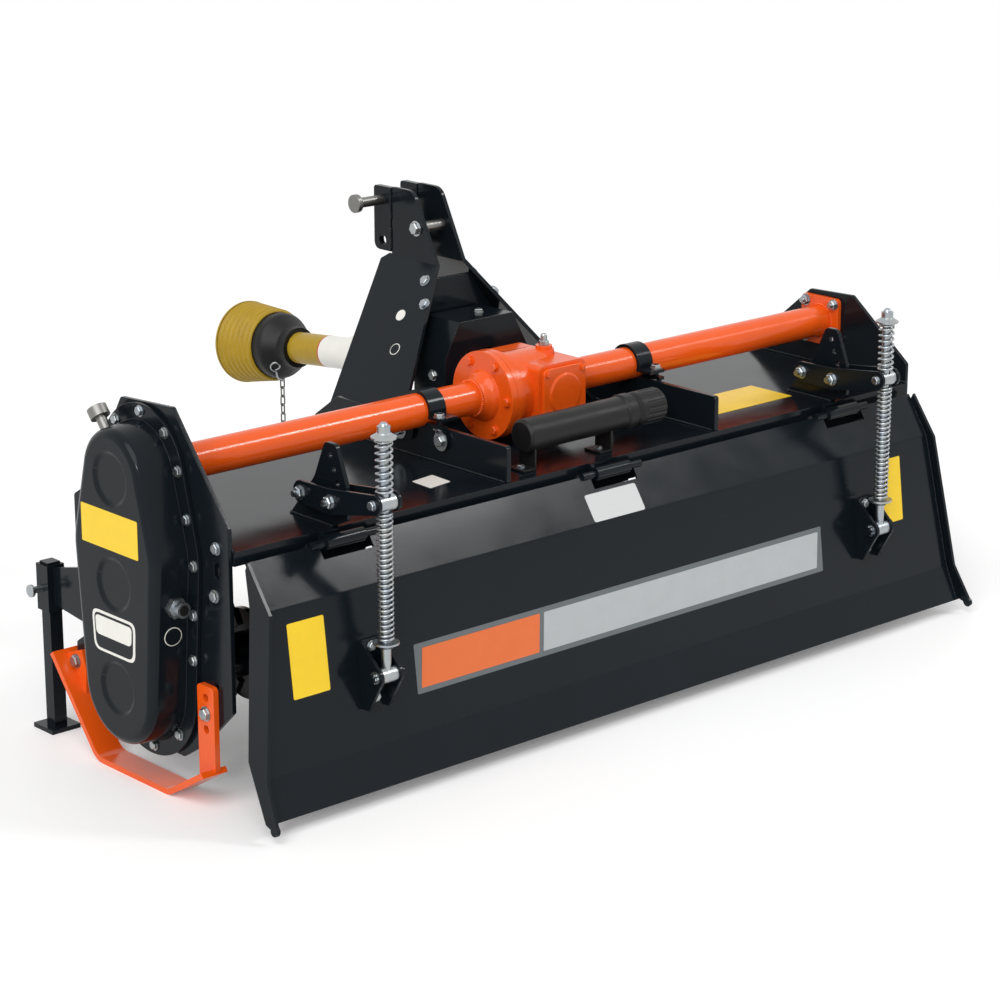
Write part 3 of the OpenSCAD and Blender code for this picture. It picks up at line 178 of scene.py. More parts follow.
def paint(name, base, dark, light, roughness, gloss, peel, ripple):
    """Sprayed enamel: the colour drifts, the skin has orange peel and the sheet a faint ripple."""
    material, tree, shader, place = surface(name)
    drift = add(tree, "ShaderNodeTexNoise", {"Vector": place, "Scale": per(150), "Detail": 3.0})
    tinted(tree, shader, drift.outputs["Fac"], base, dark, light)
    haze = add(tree, "ShaderNodeTexNoise",
               {"Vector": place, "Scale": per(60), "Detail": 4.0, "Roughness": 0.6})
    sheen = add(tree, "ShaderNodeMapRange", {0: haze.outputs["Fac"], 1: 0.3, 2: 0.7, 3: roughness * 0.8,
                                             4: roughness * 1.25})
    # Real orange peel is about 2 mm wide; it is drawn at 7 mm so that it shows
    skin = add(tree, "ShaderNodeTexNoise", {"Vector": place, "Scale": per(7), "Detail": 2.0})
    sheet = add(tree, "ShaderNodeTexNoise", {"Vector": place, "Scale": per(190), "Detail": 1.0})
    low = add(tree, "ShaderNodeBump", {"Strength": ripple, "Distance": 0.004, "Height": sheet.outputs["Fac"]})
    fine = add(tree, "ShaderNodeBump", {"Strength": peel, "Distance": 0.0006, "Height": skin.outputs["Fac"],
                                        "Normal": low.outputs["Normal"]})
    feed(tree, shader, {"Roughness": sheen.outputs[0], "Normal": fine.outputs["Normal"],
                        "Specular IOR Level": gloss})
    return material


def black_enamel():
    """Gloss black enamel on sheet steel: deep, slightly blue, with soft broad reflections."""
    return paint("black_enamel", bpy.context.scene.tiller_colours.black, 0.86, 1.2, 0.15, 0.16, 0.05, 0.2)


def orange_enamel():
    """Gloss orange enamel on tube and flat bar: even colour, clear highlights."""
    return paint("orange_enamel", bpy.context.scene.tiller_colours.orange, 0.92, 1.05, 0.17, 0.35, 0.16, 0.12)


def orange_casting():
    """Orange enamel over a sand casting: the grit of the mould shows through the paint."""
    return paint("orange_casting", bpy.context.scene.tiller_colours.orange, 0.88, 1.03, 0.2, 0.35, 0.75, 0.3)


def bright_zinc():
    """Bright zinc plate: a pale metal with faint blue and straw clouds from the bath."""
    material, tree, shader, place = surface("bright_zinc")
    base = bpy.context.scene.tiller_colours.zinc
    cloud = add(tree, "ShaderNodeTexNoise", {"Vector": place, "Scale": per(24), "Detail": 3.0})
    tint = add(tree, "ShaderNodeValToRGB", {"Fac": cloud.outputs["Fac"]})
    stops = tint.color_ramp.elements
    stops[0].position, stops[0].color = 0.3, (base[0] * 0.86, base[1] * 0.9, base[2] * 0.97, 1)
    stops[1].position, stops[1].color = 0.7, (base[0], base[1] * 0.985, base[2] * 0.93, 1)
    grain = add(tree, "ShaderNodeTexNoise", {"Vector": place, "Scale": per(4), "Detail": 2.0})
    rough = add(tree, "ShaderNodeMapRange", {0: grain.outputs["Fac"], 1: 0.3, 2: 0.7, 3: 0.26, 4: 0.42})
    bump = add(tree, "ShaderNodeBump", {"Strength": 0.12, "Distance": 0.0004, "Height": grain.outputs["Fac"]})
    feed(tree, shader, {"Base Color": tint.outputs["Color"], "Roughness": rough.outputs[0],
                        "Normal": bump.outputs["Normal"], "Metallic": 1.0})
    return material


def machined_steel():
    """Turned and oiled steel: grey metal with fine rings from the tool and darker oily patches."""
    material, tree, shader, place = surface("machined_steel")
    base = bpy.context.scene.tiller_colours.steel
    oil = add(tree, "ShaderNodeTexNoise", {"Vector": place, "Scale": per(45), "Detail": 4.0})
    tinted(tree, shader, oil.outputs["Fac"], base, 0.55, 1.0)
    # Tool marks are under 1 mm apart; to show, the rings are drawn 2 pi times 3 mm apart, since a wave
    # texture runs through 20 radians in each cell
    rings = add(tree, "ShaderNodeTexWave", {"Vector": place, "Scale": per(3) / 20, "Distortion": 1.5},
                bands_direction="Y")
    bump = add(tree, "ShaderNodeBump", {"Strength": 0.15, "Distance": 0.0003, "Height": rings.outputs["Fac"]})
    feed(tree, shader, {"Normal": bump.outputs["Normal"], "Metallic": 1.0, "Roughness": 0.38})
    return material


def moulded(name, base, roughness, cell, depth):
    """Moulded polyethylene: slightly waxy, with the mould's grain and rubbed lighter patches."""
    material, tree, shader, place = surface(name)
    rub = add(tree, "ShaderNodeTexNoise",
              {"Vector": place, "Scale": per(38), "Detail": 5.0, "Roughness": 0.62})
    tinted(tree, shader, rub.outputs["Fac"], base, 0.8, 1.18)
    rough = add(tree, "ShaderNodeMapRange", {0: rub.outputs["Fac"], 1: 0.3, 2: 0.7, 3: roughness * 0.85,
                                             4: roughness * 1.2})
    grain = add(tree, "ShaderNodeTexVoronoi", {"Vector": place, "Scale": per(cell)})
    bump = add(tree, "ShaderNodeBump",
               {"Strength": depth, "Distance": 0.0005, "Height": grain.outputs["Distance"]})
    feed(tree, shader, {"Roughness": rough.outputs[0], "Normal": bump.outputs["Normal"],
                        "Specular IOR Level": 0.25})
    return material


def black_polyethylene():
    """Black moulded polyethylene with a fine grain."""
    return moulded("black_polyethylene", bpy.context.scene.tiller_colours.moulding, 0.42, 5, 0.12)


def yellow_polyethylene():
    """Blown polyethylene of a driveline guard, an olive yellow with scuffs."""
    return moulded("yellow_polyethylene", bpy.context.scene.tiller_colours.guard, 0.36, 9, 0.1)


def vinyl(name, base):
    """Cast vinyl film: even colour with a faint mottle and small bubbles under it."""
    material, tree, shader, place = surface(name)
    mottle = add(tree, "ShaderNodeTexNoise", {"Vector": place, "Scale": per(30), "Detail": 3.0})
    tinted(tree, shader, mottle.outputs["Fac"], base, 0.93, 1.05)
    bubbles = add(tree, "ShaderNodeTexNoise", {"Vector": place, "Scale": per(11), "Detail": 1.0})
    bump = add(tree, "ShaderNodeBump",
               {"Strength": 0.08, "Distance": 0.0004, "Height": bubbles.outputs["Fac"]})
    feed(tree, shader, {"Normal": bump.outputs["Normal"], "Roughness": 0.34})
    return material


def sign_film():
    """Yellow vinyl of the bare signs."""
    return vinyl("yellow_vinyl", bpy.context.scene.tiller_colours.sign)


def stripe_film():
    """Orange vinyl of the stripe."""
    return vinyl("orange_vinyl", bpy.context.scene.tiller_colours.stripe)


def band_film():
    """Grey vinyl of the stripe."""
    return vinyl("grey_vinyl", bpy.context.scene.tiller_colours.band)


def ground_film():
    """Dark vinyl under the stripe."""
    return vinyl("slate_vinyl", bpy.context.scene.tiller_colours.ground)


def white_film():
    """White vinyl of the guard's band, the rings and the badge."""
    return vinyl("white_vinyl", linear("E9E7E0"))


def red_film():
    """Red vinyl of the band's front edge."""
    return vinyl("red_vinyl", linear("B3352B"))


def silver_foil():
    """Rolled aluminium plate: fine lines along its length."""
    material, tree, shader, place = surface("rolled_aluminium")
    base = bpy.context.scene.tiller_colours.foil
    # Rolling lines are far under 1 mm; they are drawn 1.5 mm apart so that they show
    drawn = add(tree, "ShaderNodeMapping", {"Vector": place, "Scale": (0.04, 1.0, 1.0)})
    lines = add(tree, "ShaderNodeTexNoise", {"Vector": drawn.outputs[0], "Scale": per(1.5), "Detail": 2.0})
    tinted(tree, shader, lines.outputs["Fac"], base, 0.86, 1.0)
    rough = add(tree, "ShaderNodeMapRange", {0: lines.outputs["Fac"], 1: 0.3, 2: 0.7, 3: 0.5, 4: 0.62})
    feed(tree, shader, {"Roughness": rough.outputs[0], "Metallic": 0.3})
    return material


def any_ray(tree, kinds):
    """One on a ray of any of these kinds, nought on the others."""
    ray = add(tree, "ShaderNodeLightPath").outputs
    share = ray[kinds[0]]
    for kind in kinds[1:]:
        share = add(tree, "ShaderNodeMath", {0: share, 1: ray[kind]}, operation="MAXIMUM").outputs[0]
    return share


FINISHES = {}


def finish(maker):
    """The material of a maker, made once."""
    if maker not in FINISHES:
        FINISHES[maker] = maker()
    return FINISHES[maker]


# Shapes


def piece_of(name, mesh, material, body):
    """A finished piece: its mesh, its material and the body it rides on."""
    mesh.name = name
    if material:
        mesh.materials.clear()
        mesh.materials.append(material)
    piece = bpy.data.objects.new(name, mesh)
    bpy.context.scene.collection.objects.link(piece)
    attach(piece, body)
    return piece


def mesh_from(name, work):
    """The mesh of a finished bmesh."""
    mesh = bpy.data.meshes.new(name)
    work.to_mesh(mesh)
    work.free()
    return mesh


def softened(node, material, width=None, trim=None):
    """A copy of a CAD node with its cut edges rounded, which stands for it; trim cuts off a corner."""
    width = bpy.context.scene.tiller_sizes.edge if width is None else width
    work = bmesh.new()
    work.from_mesh(NODES[node].data)
    bmesh.ops.remove_doubles(work, verts=work.verts, dist=2e-5)
    bmesh.ops.dissolve_limit(work, angle_limit=radians(0.6), verts=work.verts, edges=work.edges)
    if trim:
        bmesh.ops.bisect_plane(work, geom=[*work.verts, *work.edges, *work.faces], dist=1e-6,
                               plane_co=trim[0], plane_no=trim[1], clear_outer=True)
        bmesh.ops.holes_fill(work, edges=[e for e in work.edges if e.is_boundary])
    sharp = radians(34)
    cut = [e for e in work.edges if len(e.link_faces) == 2 and e.calc_face_angle(0.0) > sharp]
    if cut and width > 0:
        bmesh.ops.bevel(work, geom=cut, offset=width, offset_type="OFFSET", segments=2, profile=0.5,
                        affect="EDGES", clamp_overlap=True)
    mesh = mesh_from(node, work)
    mesh.shade_smooth()
    mesh.set_sharp_from_angle(angle=radians(52))
    piece = piece_of(node + "_finished", mesh, material, BODY_OF[node])
    even = piece.modifiers.new("even_normals", "WEIGHTED_NORMAL")
    even.keep_sharp = True
    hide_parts(node)
    return piece


SKINS = {}


def touch(node, point, facing):
    """Where a line against facing, through a point of the drawing, meets a node, and the normal there."""
    if node not in SKINS:
        data = NODES[node].data
        SKINS[node] = BVHTree.FromPolygons([v.co for v in data.vertices],
                                           [p.vertices for p in data.polygons])
    way = Vector(facing).normalized()
    spot, normal, _, _ = SKINS[node].ray_cast(at(*point) + way * 0.25, -way)
    if spot is None:
        raise RuntimeError(f"nothing of {node} lies at {point}")
    return spot, normal


def geometry_tree(name, sizes):
    """An empty geometry tree with named sizes and a material."""
    tree = bpy.data.node_groups.new(name, "GeometryNodeTree")
    face = tree.interface
    face.new_socket("Geometry", in_out="INPUT", socket_type="NodeSocketGeometry")
    for label, value in sizes.items():
        kind = "NodeSocketInt" if isinstance(value, int) else "NodeSocketFloat"
        face.new_socket(label, in_out="INPUT", socket_type=kind).default_value = value
    face.new_socket("Material", in_out="INPUT", socket_type="NodeSocketMaterial")
    face.new_socket("Geometry", in_out="OUTPUT", socket_type="NodeSocketGeometry")
    return tree, add(tree, "NodeGroupInput").outputs


def close_tree(tree, geometry, material):
    """Ends a tree in real geometry with its material."""
    solid = add(tree, "GeometryNodeRealizeInstances", {0: geometry})
    smooth = add(tree, "GeometryNodeSetShadeSmooth", {0: solid.outputs[0]})
    dressed = add(tree, "GeometryNodeSetMaterial", {0: smooth.outputs[0], "Material": material})
    add(tree, "NodeGroupOutput", {0: dressed.outputs[0]})
    return tree


def plain_mesh(holder):
    """An object's finished mesh; the object itself goes."""
    bpy.context.view_layer.update()
    mesh = bpy.data.meshes.new_from_object(holder.evaluated_get(bpy.context.evaluated_depsgraph_get()))
    holder.modifiers.clear()
    bpy.data.objects.remove(holder)
    return mesh


def run_tree(tree, name, start, material, body, sizes=(), sharp=40):
    """Runs a tree on a start mesh and keeps the result as a plain mesh."""
    holder = bpy.data.objects.new(name + "_start", start)
    bpy.context.scene.collection.objects.link(holder)
    modifier = holder.modifiers.new(tree.name, "NODES")
    modifier.node_group = tree
    values = dict(sizes, Material=material)
    for item in tree.interface.items_tree:
        if item.in_out == "INPUT" and item.name in values:
            modifier[item.identifier] = values[item.name]
    mesh = plain_mesh(holder)
    if not mesh.polygons:
        raise RuntimeError(f"{name} came out empty")
    mesh.set_sharp_from_angle(angle=radians(sharp))
    return piece_of(name, mesh, None, body)


def hex_bolt_tree():
    """A washer, a hexagon with its chamfered crown and a stud on each point, turned along its facing."""
    sizes = bpy.context.scene.tiller_sizes
    tree, given = geometry_tree("hex_bolts", {
        "Head radius": sizes.head, "Head height": sizes.head_height, "Washer radius": sizes.washer,
        "Washer height": sizes.washer_height, "Stud radius": 0.0048, "Stud length": -0.003, "Seed": 7})
    # Washer and head sink a little into what is below; a stud shorter than the head stays hidden in it
    sink = 0.0006

    def raised(part, height):
        """A part moved up by a height."""
        lift = add(tree, "ShaderNodeCombineXYZ", {"Z": height.outputs[0]})
        return add(tree, "GeometryNodeTransform", {0: part.outputs["Mesh"], "Translation": lift.outputs[0]})

    washer = add(tree, "GeometryNodeMeshCylinder", {"Vertices": 24, "Radius": given["Washer radius"],
                                                    "Depth": given["Washer height"]})
    half = add(tree, "ShaderNodeMath", {0: given["Washer height"], 1: 0.5}, operation="MULTIPLY")
    low = add(tree, "ShaderNodeMath", {0: half.outputs[0], 1: sink}, operation="SUBTRACT")
    crown_h = add(tree, "ShaderNodeMath", {0: given["Head height"], 1: 0.2}, operation="MULTIPLY")
    body_h = add(tree, "ShaderNodeMath", {0: given["Head height"], 1: 0.8}, operation="MULTIPLY")
    hexagon = add(tree, "GeometryNodeMeshCone",
                  {"Vertices": 6, "Radius Top": given["Head radius"], "Radius Bottom": given["Head radius"],
                   "Depth": body_h.outputs[0]})
    seat = add(tree, "ShaderNodeMath", {0: given["Washer height"], 1: 2 * sink}, operation="SUBTRACT")
    tip = add(tree, "ShaderNodeMath", {0: given["Head radius"], 1: 0.84}, operation="MULTIPLY")
    crown = add(tree, "GeometryNodeMeshCone",
                {"Vertices": 6, "Radius Top": tip.outputs[0], "Radius Bottom": given["Head radius"],
                 "Depth": crown_h.outputs[0]})
    top = add(tree, "ShaderNodeMath", {0: seat.outputs[0], 1: body_h.outputs[0]}, operation="ADD")
    reach = add(tree, "ShaderNodeMath", {0: given["Stud length"], 1: given["Head height"]}, operation="ADD")
    stud = add(tree, "GeometryNodeMeshCone",
               {"Vertices": 14, "Radius Top": given["Stud radius"], "Radius Bottom": given["Stud radius"],
                "Depth": reach.outputs[0]})
    bolt = add(tree, "GeometryNodeJoinGeometry")
    for part, height in ((washer, low), (hexagon, seat), (crown, top), (stud, seat)):
        tree.links.new(raised(part, height).outputs[0], bolt.inputs[0])
    facing = add(tree, "GeometryNodeInputNamedAttribute", {"Name": "facing"}, data_type="FLOAT_VECTOR")
    size = add(tree, "GeometryNodeInputNamedAttribute", {"Name": "size"}, data_type="FLOAT")
    turn = add(tree, "FunctionNodeAlignRotationToVector", {"Vector": facing.outputs[0]}, axis="Z")
    chance = add(tree, "FunctionNodeRandomValue", {2: 0.0, 3: pi / 3, "Seed": given["Seed"]},
                 data_type="FLOAT")
    spin = add(tree, "FunctionNodeAxisAngleToRotation", {"Axis": (0, 0, 1), "Angle": chance.outputs[1]})
    set_way = add(tree, "FunctionNodeRotateRotation", {0: turn.outputs[0], 1: spin.outputs[0]},
                  rotation_space="LOCAL")
    placed = add(tree, "GeometryNodeInstanceOnPoints",
                 {"Points": given["Geometry"], "Instance": bolt.outputs[0], "Rotation": set_way.outputs[0],
                  "Scale": size.outputs[0]})
    return close_tree(tree, placed.outputs[0], given["Material"])


def weld_tree():
    """A row of overlapping, uneven drops along each line."""
    sizes = bpy.context.scene.tiller_sizes
    tree, given = geometry_tree("weld_beads",
                                {"Half width": sizes.bead, "Step": sizes.bead_step, "Seed": 11})
    line = add(tree, "GeometryNodeMeshToCurve", {0: given["Geometry"]})
    even = add(tree, "GeometryNodeResampleCurve", {0: line.outputs[0], "Length": given["Step"]},
               mode="LENGTH")
    drop = add(tree, "GeometryNodeMeshUVSphere", {"Segments": 8, "Rings": 5, "Radius": given["Half width"]})
    along = add(tree, "GeometryNodeInputTangent")
    turn = add(tree, "FunctionNodeAlignRotationToVector", {"Vector": along.outputs[0]}, axis="X")
    chance = add(tree, "FunctionNodeRandomValue", {0: (0.9, 0.82, 0.82), 1: (1.15, 1.15, 1.15),
                                                   "Seed": given["Seed"]}, data_type="FLOAT_VECTOR")
    placed = add(tree, "GeometryNodeInstanceOnPoints",
                 {"Points": even.outputs[0], "Instance": drop.outputs["Mesh"], "Rotation": turn.outputs[0],
                  "Scale": chance.outputs[0]})
    return close_tree(tree, placed.outputs[0], given["Material"])


def spring_tree():
    """A coil spring that stands on the start point, its first and last turns closed."""
    tree, given = geometry_tree("coil_spring",
                                {"Radius": 0.012, "Wire": 0.0022, "Height": 0.2, "Turns": 20})
    points_a_turn = 22.0
    line = add(tree, "GeometryNodeCurvePrimitiveLine", {"Start": (0, 0, 0), "End": (0, 0, 1)})
    count = add(tree, "ShaderNodeMath", {0: given["Turns"], 1: points_a_turn}, operation="MULTIPLY")
    path = add(tree, "GeometryNodeResampleCurve", {0: line.outputs[0], "Count": count.outputs[0]},
               mode="COUNT")
    share = add(tree, "GeometryNodeSplineParameter").outputs["Factor"]
    turns = add(tree, "ShaderNodeMath", {0: share, 1: given["Turns"]}, operation="MULTIPLY")
    angle = add(tree, "ShaderNodeMath", {0: turns.outputs[0], 1: 2 * pi}, operation="MULTIPLY")
    across = add(tree, "ShaderNodeMath", {0: angle.outputs[0]}, operation="COSINE")
    along = add(tree, "ShaderNodeMath", {0: angle.outputs[0]}, operation="SINE")
    x = add(tree, "ShaderNodeMath", {0: across.outputs[0], 1: given["Radius"]}, operation="MULTIPLY")
    y = add(tree, "ShaderNodeMath", {0: along.outputs[0], 1: given["Radius"]}, operation="MULTIPLY")
    thick = add(tree, "ShaderNodeMath", {0: given["Wire"], 1: 2.0}, operation="MULTIPLY")
    last = add(tree, "ShaderNodeMath", {0: given["Turns"], 1: 1.0}, operation="SUBTRACT")
    first = add(tree, "ShaderNodeMapRange",
                {0: turns.outputs[0], 1: 0.0, 2: 1.0, 3: 0.0, 4: thick.outputs[0]})
    # Two closed turns and the wire's own thickness are left out of the free height
    free = add(tree, "ShaderNodeMath", {0: thick.outputs[0], 1: -3.0, 2: given["Height"]},
               operation="MULTIPLY_ADD")
    middle = add(tree, "ShaderNodeMapRange", {0: turns.outputs[0], 1: 1.0, 2: last.outputs[0], 3: 0.0,
                                              4: free.outputs[0]})
    final = add(tree, "ShaderNodeMapRange",
                {0: turns.outputs[0], 1: last.outputs[0], 2: given["Turns"], 3: 0.0, 4: thick.outputs[0]})
    z = add(tree, "ShaderNodeMath", {0: first.outputs[0], 1: middle.outputs[0]}, operation="ADD")
    z = add(tree, "ShaderNodeMath", {0: z.outputs[0], 1: final.outputs[0]}, operation="ADD")
    z = add(tree, "ShaderNodeMath", {0: z.outputs[0], 1: given["Wire"]}, operation="ADD")
    spot = add(tree, "ShaderNodeCombineXYZ", {0: x.outputs[0], 1: y.outputs[0], 2: z.outputs[0]})
    coil = add(tree, "GeometryNodeSetPosition", {0: path.outputs[0], "Position": spot.outputs[0]})
    section = add(tree, "GeometryNodeCurvePrimitiveCircle", {"Resolution": 10, "Radius": given["Wire"]})
    wire = add(tree, "GeometryNodeCurveToMesh",
               {"Curve": coil.outputs[0], "Profile Curve": section.outputs[0], "Fill Caps": True})
    placed = add(tree, "GeometryNodeInstanceOnPoints",
                 {"Points": given["Geometry"], "Instance": wire.outputs[0]})
    return close_tree(tree, placed.outputs[0], given["Material"])


def points_mesh(sites):
    """Points with the way each one faces and its size; a site is a place, a facing and a size."""
    mesh = bpy.data.meshes.new("sites")
    mesh.from_pydata([place for place, _, _ in sites], [], [])
    mesh.attributes.new("facing", "FLOAT_VECTOR", "POINT")
    mesh.attributes.new("size", "FLOAT", "POINT")
    for i, (_, way, scale) in enumerate(sites):
        mesh.attributes["facing"].data[i].vector = way
        mesh.attributes["size"].data[i].value = scale
    return mesh


def lines_mesh(lines):
    """Open lines as a mesh of edges."""
    spots, edges = [], []
    for line in lines:
        edges += [(len(spots) + i, len(spots) + i + 1) for i in range(len(line) - 1)]
        spots += [tuple(p) for p in line]
    mesh = bpy.data.meshes.new("lines")
    mesh.from_pydata(spots, edges, [])
    return mesh


def ring_x(x, y, z, r):
    """Points of a closed ring round an axis along X."""
    count = 40
    turns = [2 * pi * i / count for i in range(count + 1)]
    return [at(x, y + r * cos(turn), z + r * sin(turn)) for turn in turns]


def wire_piece(name, points, radius, material, body):
    """Bent wire along points."""
    curve = bpy.data.curves.new(name, "CURVE")
    curve.dimensions = "3D"
    curve.bevel_depth = radius
    curve.bevel_resolution = 3
    curve.resolution_u = 6
    curve.use_fill_caps = True
    line = curve.splines.new("NURBS")
    line.points.add(len(points) - 1)
    for spot, p in zip(line.points, points):
        spot.co = (*p, 1.0)
    line.use_endpoint_u = True
    line.order_u = 3
    holder = bpy.data.objects.new(name + "_line", curve)
    bpy.context.scene.collection.objects.link(holder)
    mesh = plain_mesh(holder)
    mesh.shade_smooth()
    return piece_of(name, mesh, material, body)


def sheet_piece(name, corners, normal, thick, radius, material, body):
    """A thin plate on its corners, each of them rounded, sunk a little into what it lies on."""
    outline = []
    for i, corner in enumerate(corners):
        before, after = corners[i - 1] - corner, corners[(i + 1) % len(corners)] - corner
        reach = min(radius, before.length * 0.45, after.length * 0.45)
        a, b = corner + before.normalized() * reach, corner + after.normalized() * reach
        for k in range(5):
            t = k / 4
            outline.append(a * (1 - t) ** 2 + corner * (2 * t * (1 - t)) + b * t ** 2)
    sink = 0.0002
    work = bmesh.new()
    low = work.faces.new([work.verts.new(p - normal * sink) for p in outline])
    raised = bmesh.ops.extrude_face_region(work, geom=[low])["geom"]
    for vert in raised:
        if isinstance(vert, bmesh.types.BMVert):
            vert.co += normal * (thick + sink)
    bmesh.ops.recalc_face_normals(work, faces=work.faces)
    return piece_of(name, mesh_from(name, work), material, body)


def disc_piece(name, centre, normal, radius, thick, material, body):
    """A thin round plate."""
    aside = normal.orthogonal().normalized()
    over = normal.cross(aside)
    rim = [centre + aside * (radius * cos(pi * i / 16)) + over * (radius * sin(pi * i / 16))
           for i in range(32)]
    return sheet_piece(name, rim, normal, thick, 0.0, material, body)


def driveline(along, out=0.0, turn=0.0):
    """A point by its distance along the driveline, from its axis and from straight down towards the left."""
    down = -out * cos(turn)
    return at(HITCH_X - out * sin(turn), JOINT_Y + along * cos(DROOP) + down * sin(DROOP),
              TUBE_Z - along * sin(DROOP) + down * cos(DROOP))


def sleeve_piece(name, start, end, radius, thick, material, body):
    """A thin band round the driveline, sunk a little into what it lies on."""
    count = 48
    work = bmesh.new()
    rings = []
    low, high = radius - 0.2, radius + thick
    for along, out in ((start, low), (start, high), (end, high), (end, low)):
        rings.append([work.verts.new(driveline(along, out, 2 * pi * i / count)) for i in range(count)])
    for a, b in zip(rings, rings[1:] + rings[:1]):
        for i in range(count):
            work.faces.new((a[i], a[i - 1], b[i - 1], b[i]))
    bmesh.ops.recalc_face_normals(work, faces=work.faces)
    mesh = mesh_from(name, work)
    mesh.shade_smooth()
    mesh.set_sharp_from_angle(angle=radians(40))
    return piece_of(name, mesh, material, body)


# Pieces


class TILLER_OT_sheet_metal(bpy.types.Operator):
    """Black enamelled body, gear case, mast, rotor, door and stand with rounded edges"""
    bl_idname = "tiller.sheet_metal"
    bl_label = "Sheet metal"

    def execute(self, context):
        black = finish(black_enamel)
        for node, slot in SLOT_OF.items():
            if slot == "black_paint" and node not in ("deck", "base_plates"):
                softened(node, black)
        softened("deck", black, 0.0034)
        # The base plates run down towards the front, where the mast's feet end
        softened("base_plates", black, trim=(at(0, 255, 480), Vector((0, 42, 60)).normalized()))
        # Strips behind the door's notches close the view under the deck
        half, low, high = 118, 392, 418
        for i in (-1, 0, 1):
            corners = [at(i * ROD_X + dx, -236, z)
                       for dx, z in ((-half, low), (half, low), (half, high), (-half, high))]
            sheet_piece(f"notch_strip_{i + 2}", corners, Vector((0, -1, 0)), 0.002, 0.004, black, "frame")
        return {"FINISHED"}


class TILLER_OT_orange_work(bpy.types.Operator):
    """Orange cross tube, skids and gearbox"""
    bl_idname = "tiller.orange_work"
    bl_label = "Orange work"

    def execute(self, context):
        for node in ("cross_tube_left", "cross_tube_right", "skids"):
            softened(node, finish(orange_enamel))
        for node in ("gearbox", "gearbox_cover"):
            softened(node, finish(orange_casting), 0.003)
        return {"FINISHED"}


class TILLER_OT_bright_work(bpy.types.Operator):
    """Zinc plated rods and small fittings; hitch pins, filler, shaft and chain in bare steel"""
    bl_idname = "tiller.bright_work"
    bl_label = "Bright work"
    bare = ("pto_shaft", "top_link_pin", "lower_pins", "mast_spacer", "oil_filler", "guard_chain")

    def execute(self, context):
        for node, slot in SLOT_OF.items():
            if slot == "zinc_plate" and "spring" not in node and node not in self.bare:
                softened(node, finish(bright_zinc), 0.0008)
        for node in self.bare:
            softened(node, finish(machined_steel), 0.0012)
        return {"FINISHED"}


class TILLER_OT_mouldings(bpy.types.Operator):
    """Black manual tube and the driveline's yellow and black guard"""
    bl_idname = "tiller.mouldings"
    bl_label = "Mouldings"

    def execute(self, context):
        for node, slot in SLOT_OF.items():
            if slot == "black_plastic":
                softened(node, finish(black_polyethylene))
            elif slot == "yellow_plastic":
                softened(node, finish(yellow_polyethylene))
        return {"FINISHED"}


class TILLER_OT_springs(bpy.types.Operator):
    """Coil springs of the door's two rods"""
    bl_idname = "tiller.springs"
    bl_label = "Springs"

    def execute(self, context):
        sizes = context.scene.tiller_sizes
        tree = spring_tree()
        for side in ("left", "right"):
            for level, turns in (("lower", sizes.lower_turns), ("upper", sizes.upper_turns)):
                node = f"{level}_spring_{side}"
                low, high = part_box(node)
                foot = Vector(((low.x + high.x) / 2, (low.y + high.y) / 2, low.z))
                start = bpy.data.meshes.new(node)
                start.from_pydata([(0, 0, 0)], [], [])
                shape = {"Radius": (high.x - low.x) / 2 - sizes.wire, "Wire": sizes.wire,
                         "Height": high.z - low.z, "Turns": turns}
                coil = run_tree(tree, node + "_coil", start, finish(bright_zinc), BODY_OF[node],
                                shape, sharp=60)
                coil.data.transform(Matrix.Translation(foot))
                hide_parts(node)
                if level == "lower":
                    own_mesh(coil)
        return {"FINISHED"}


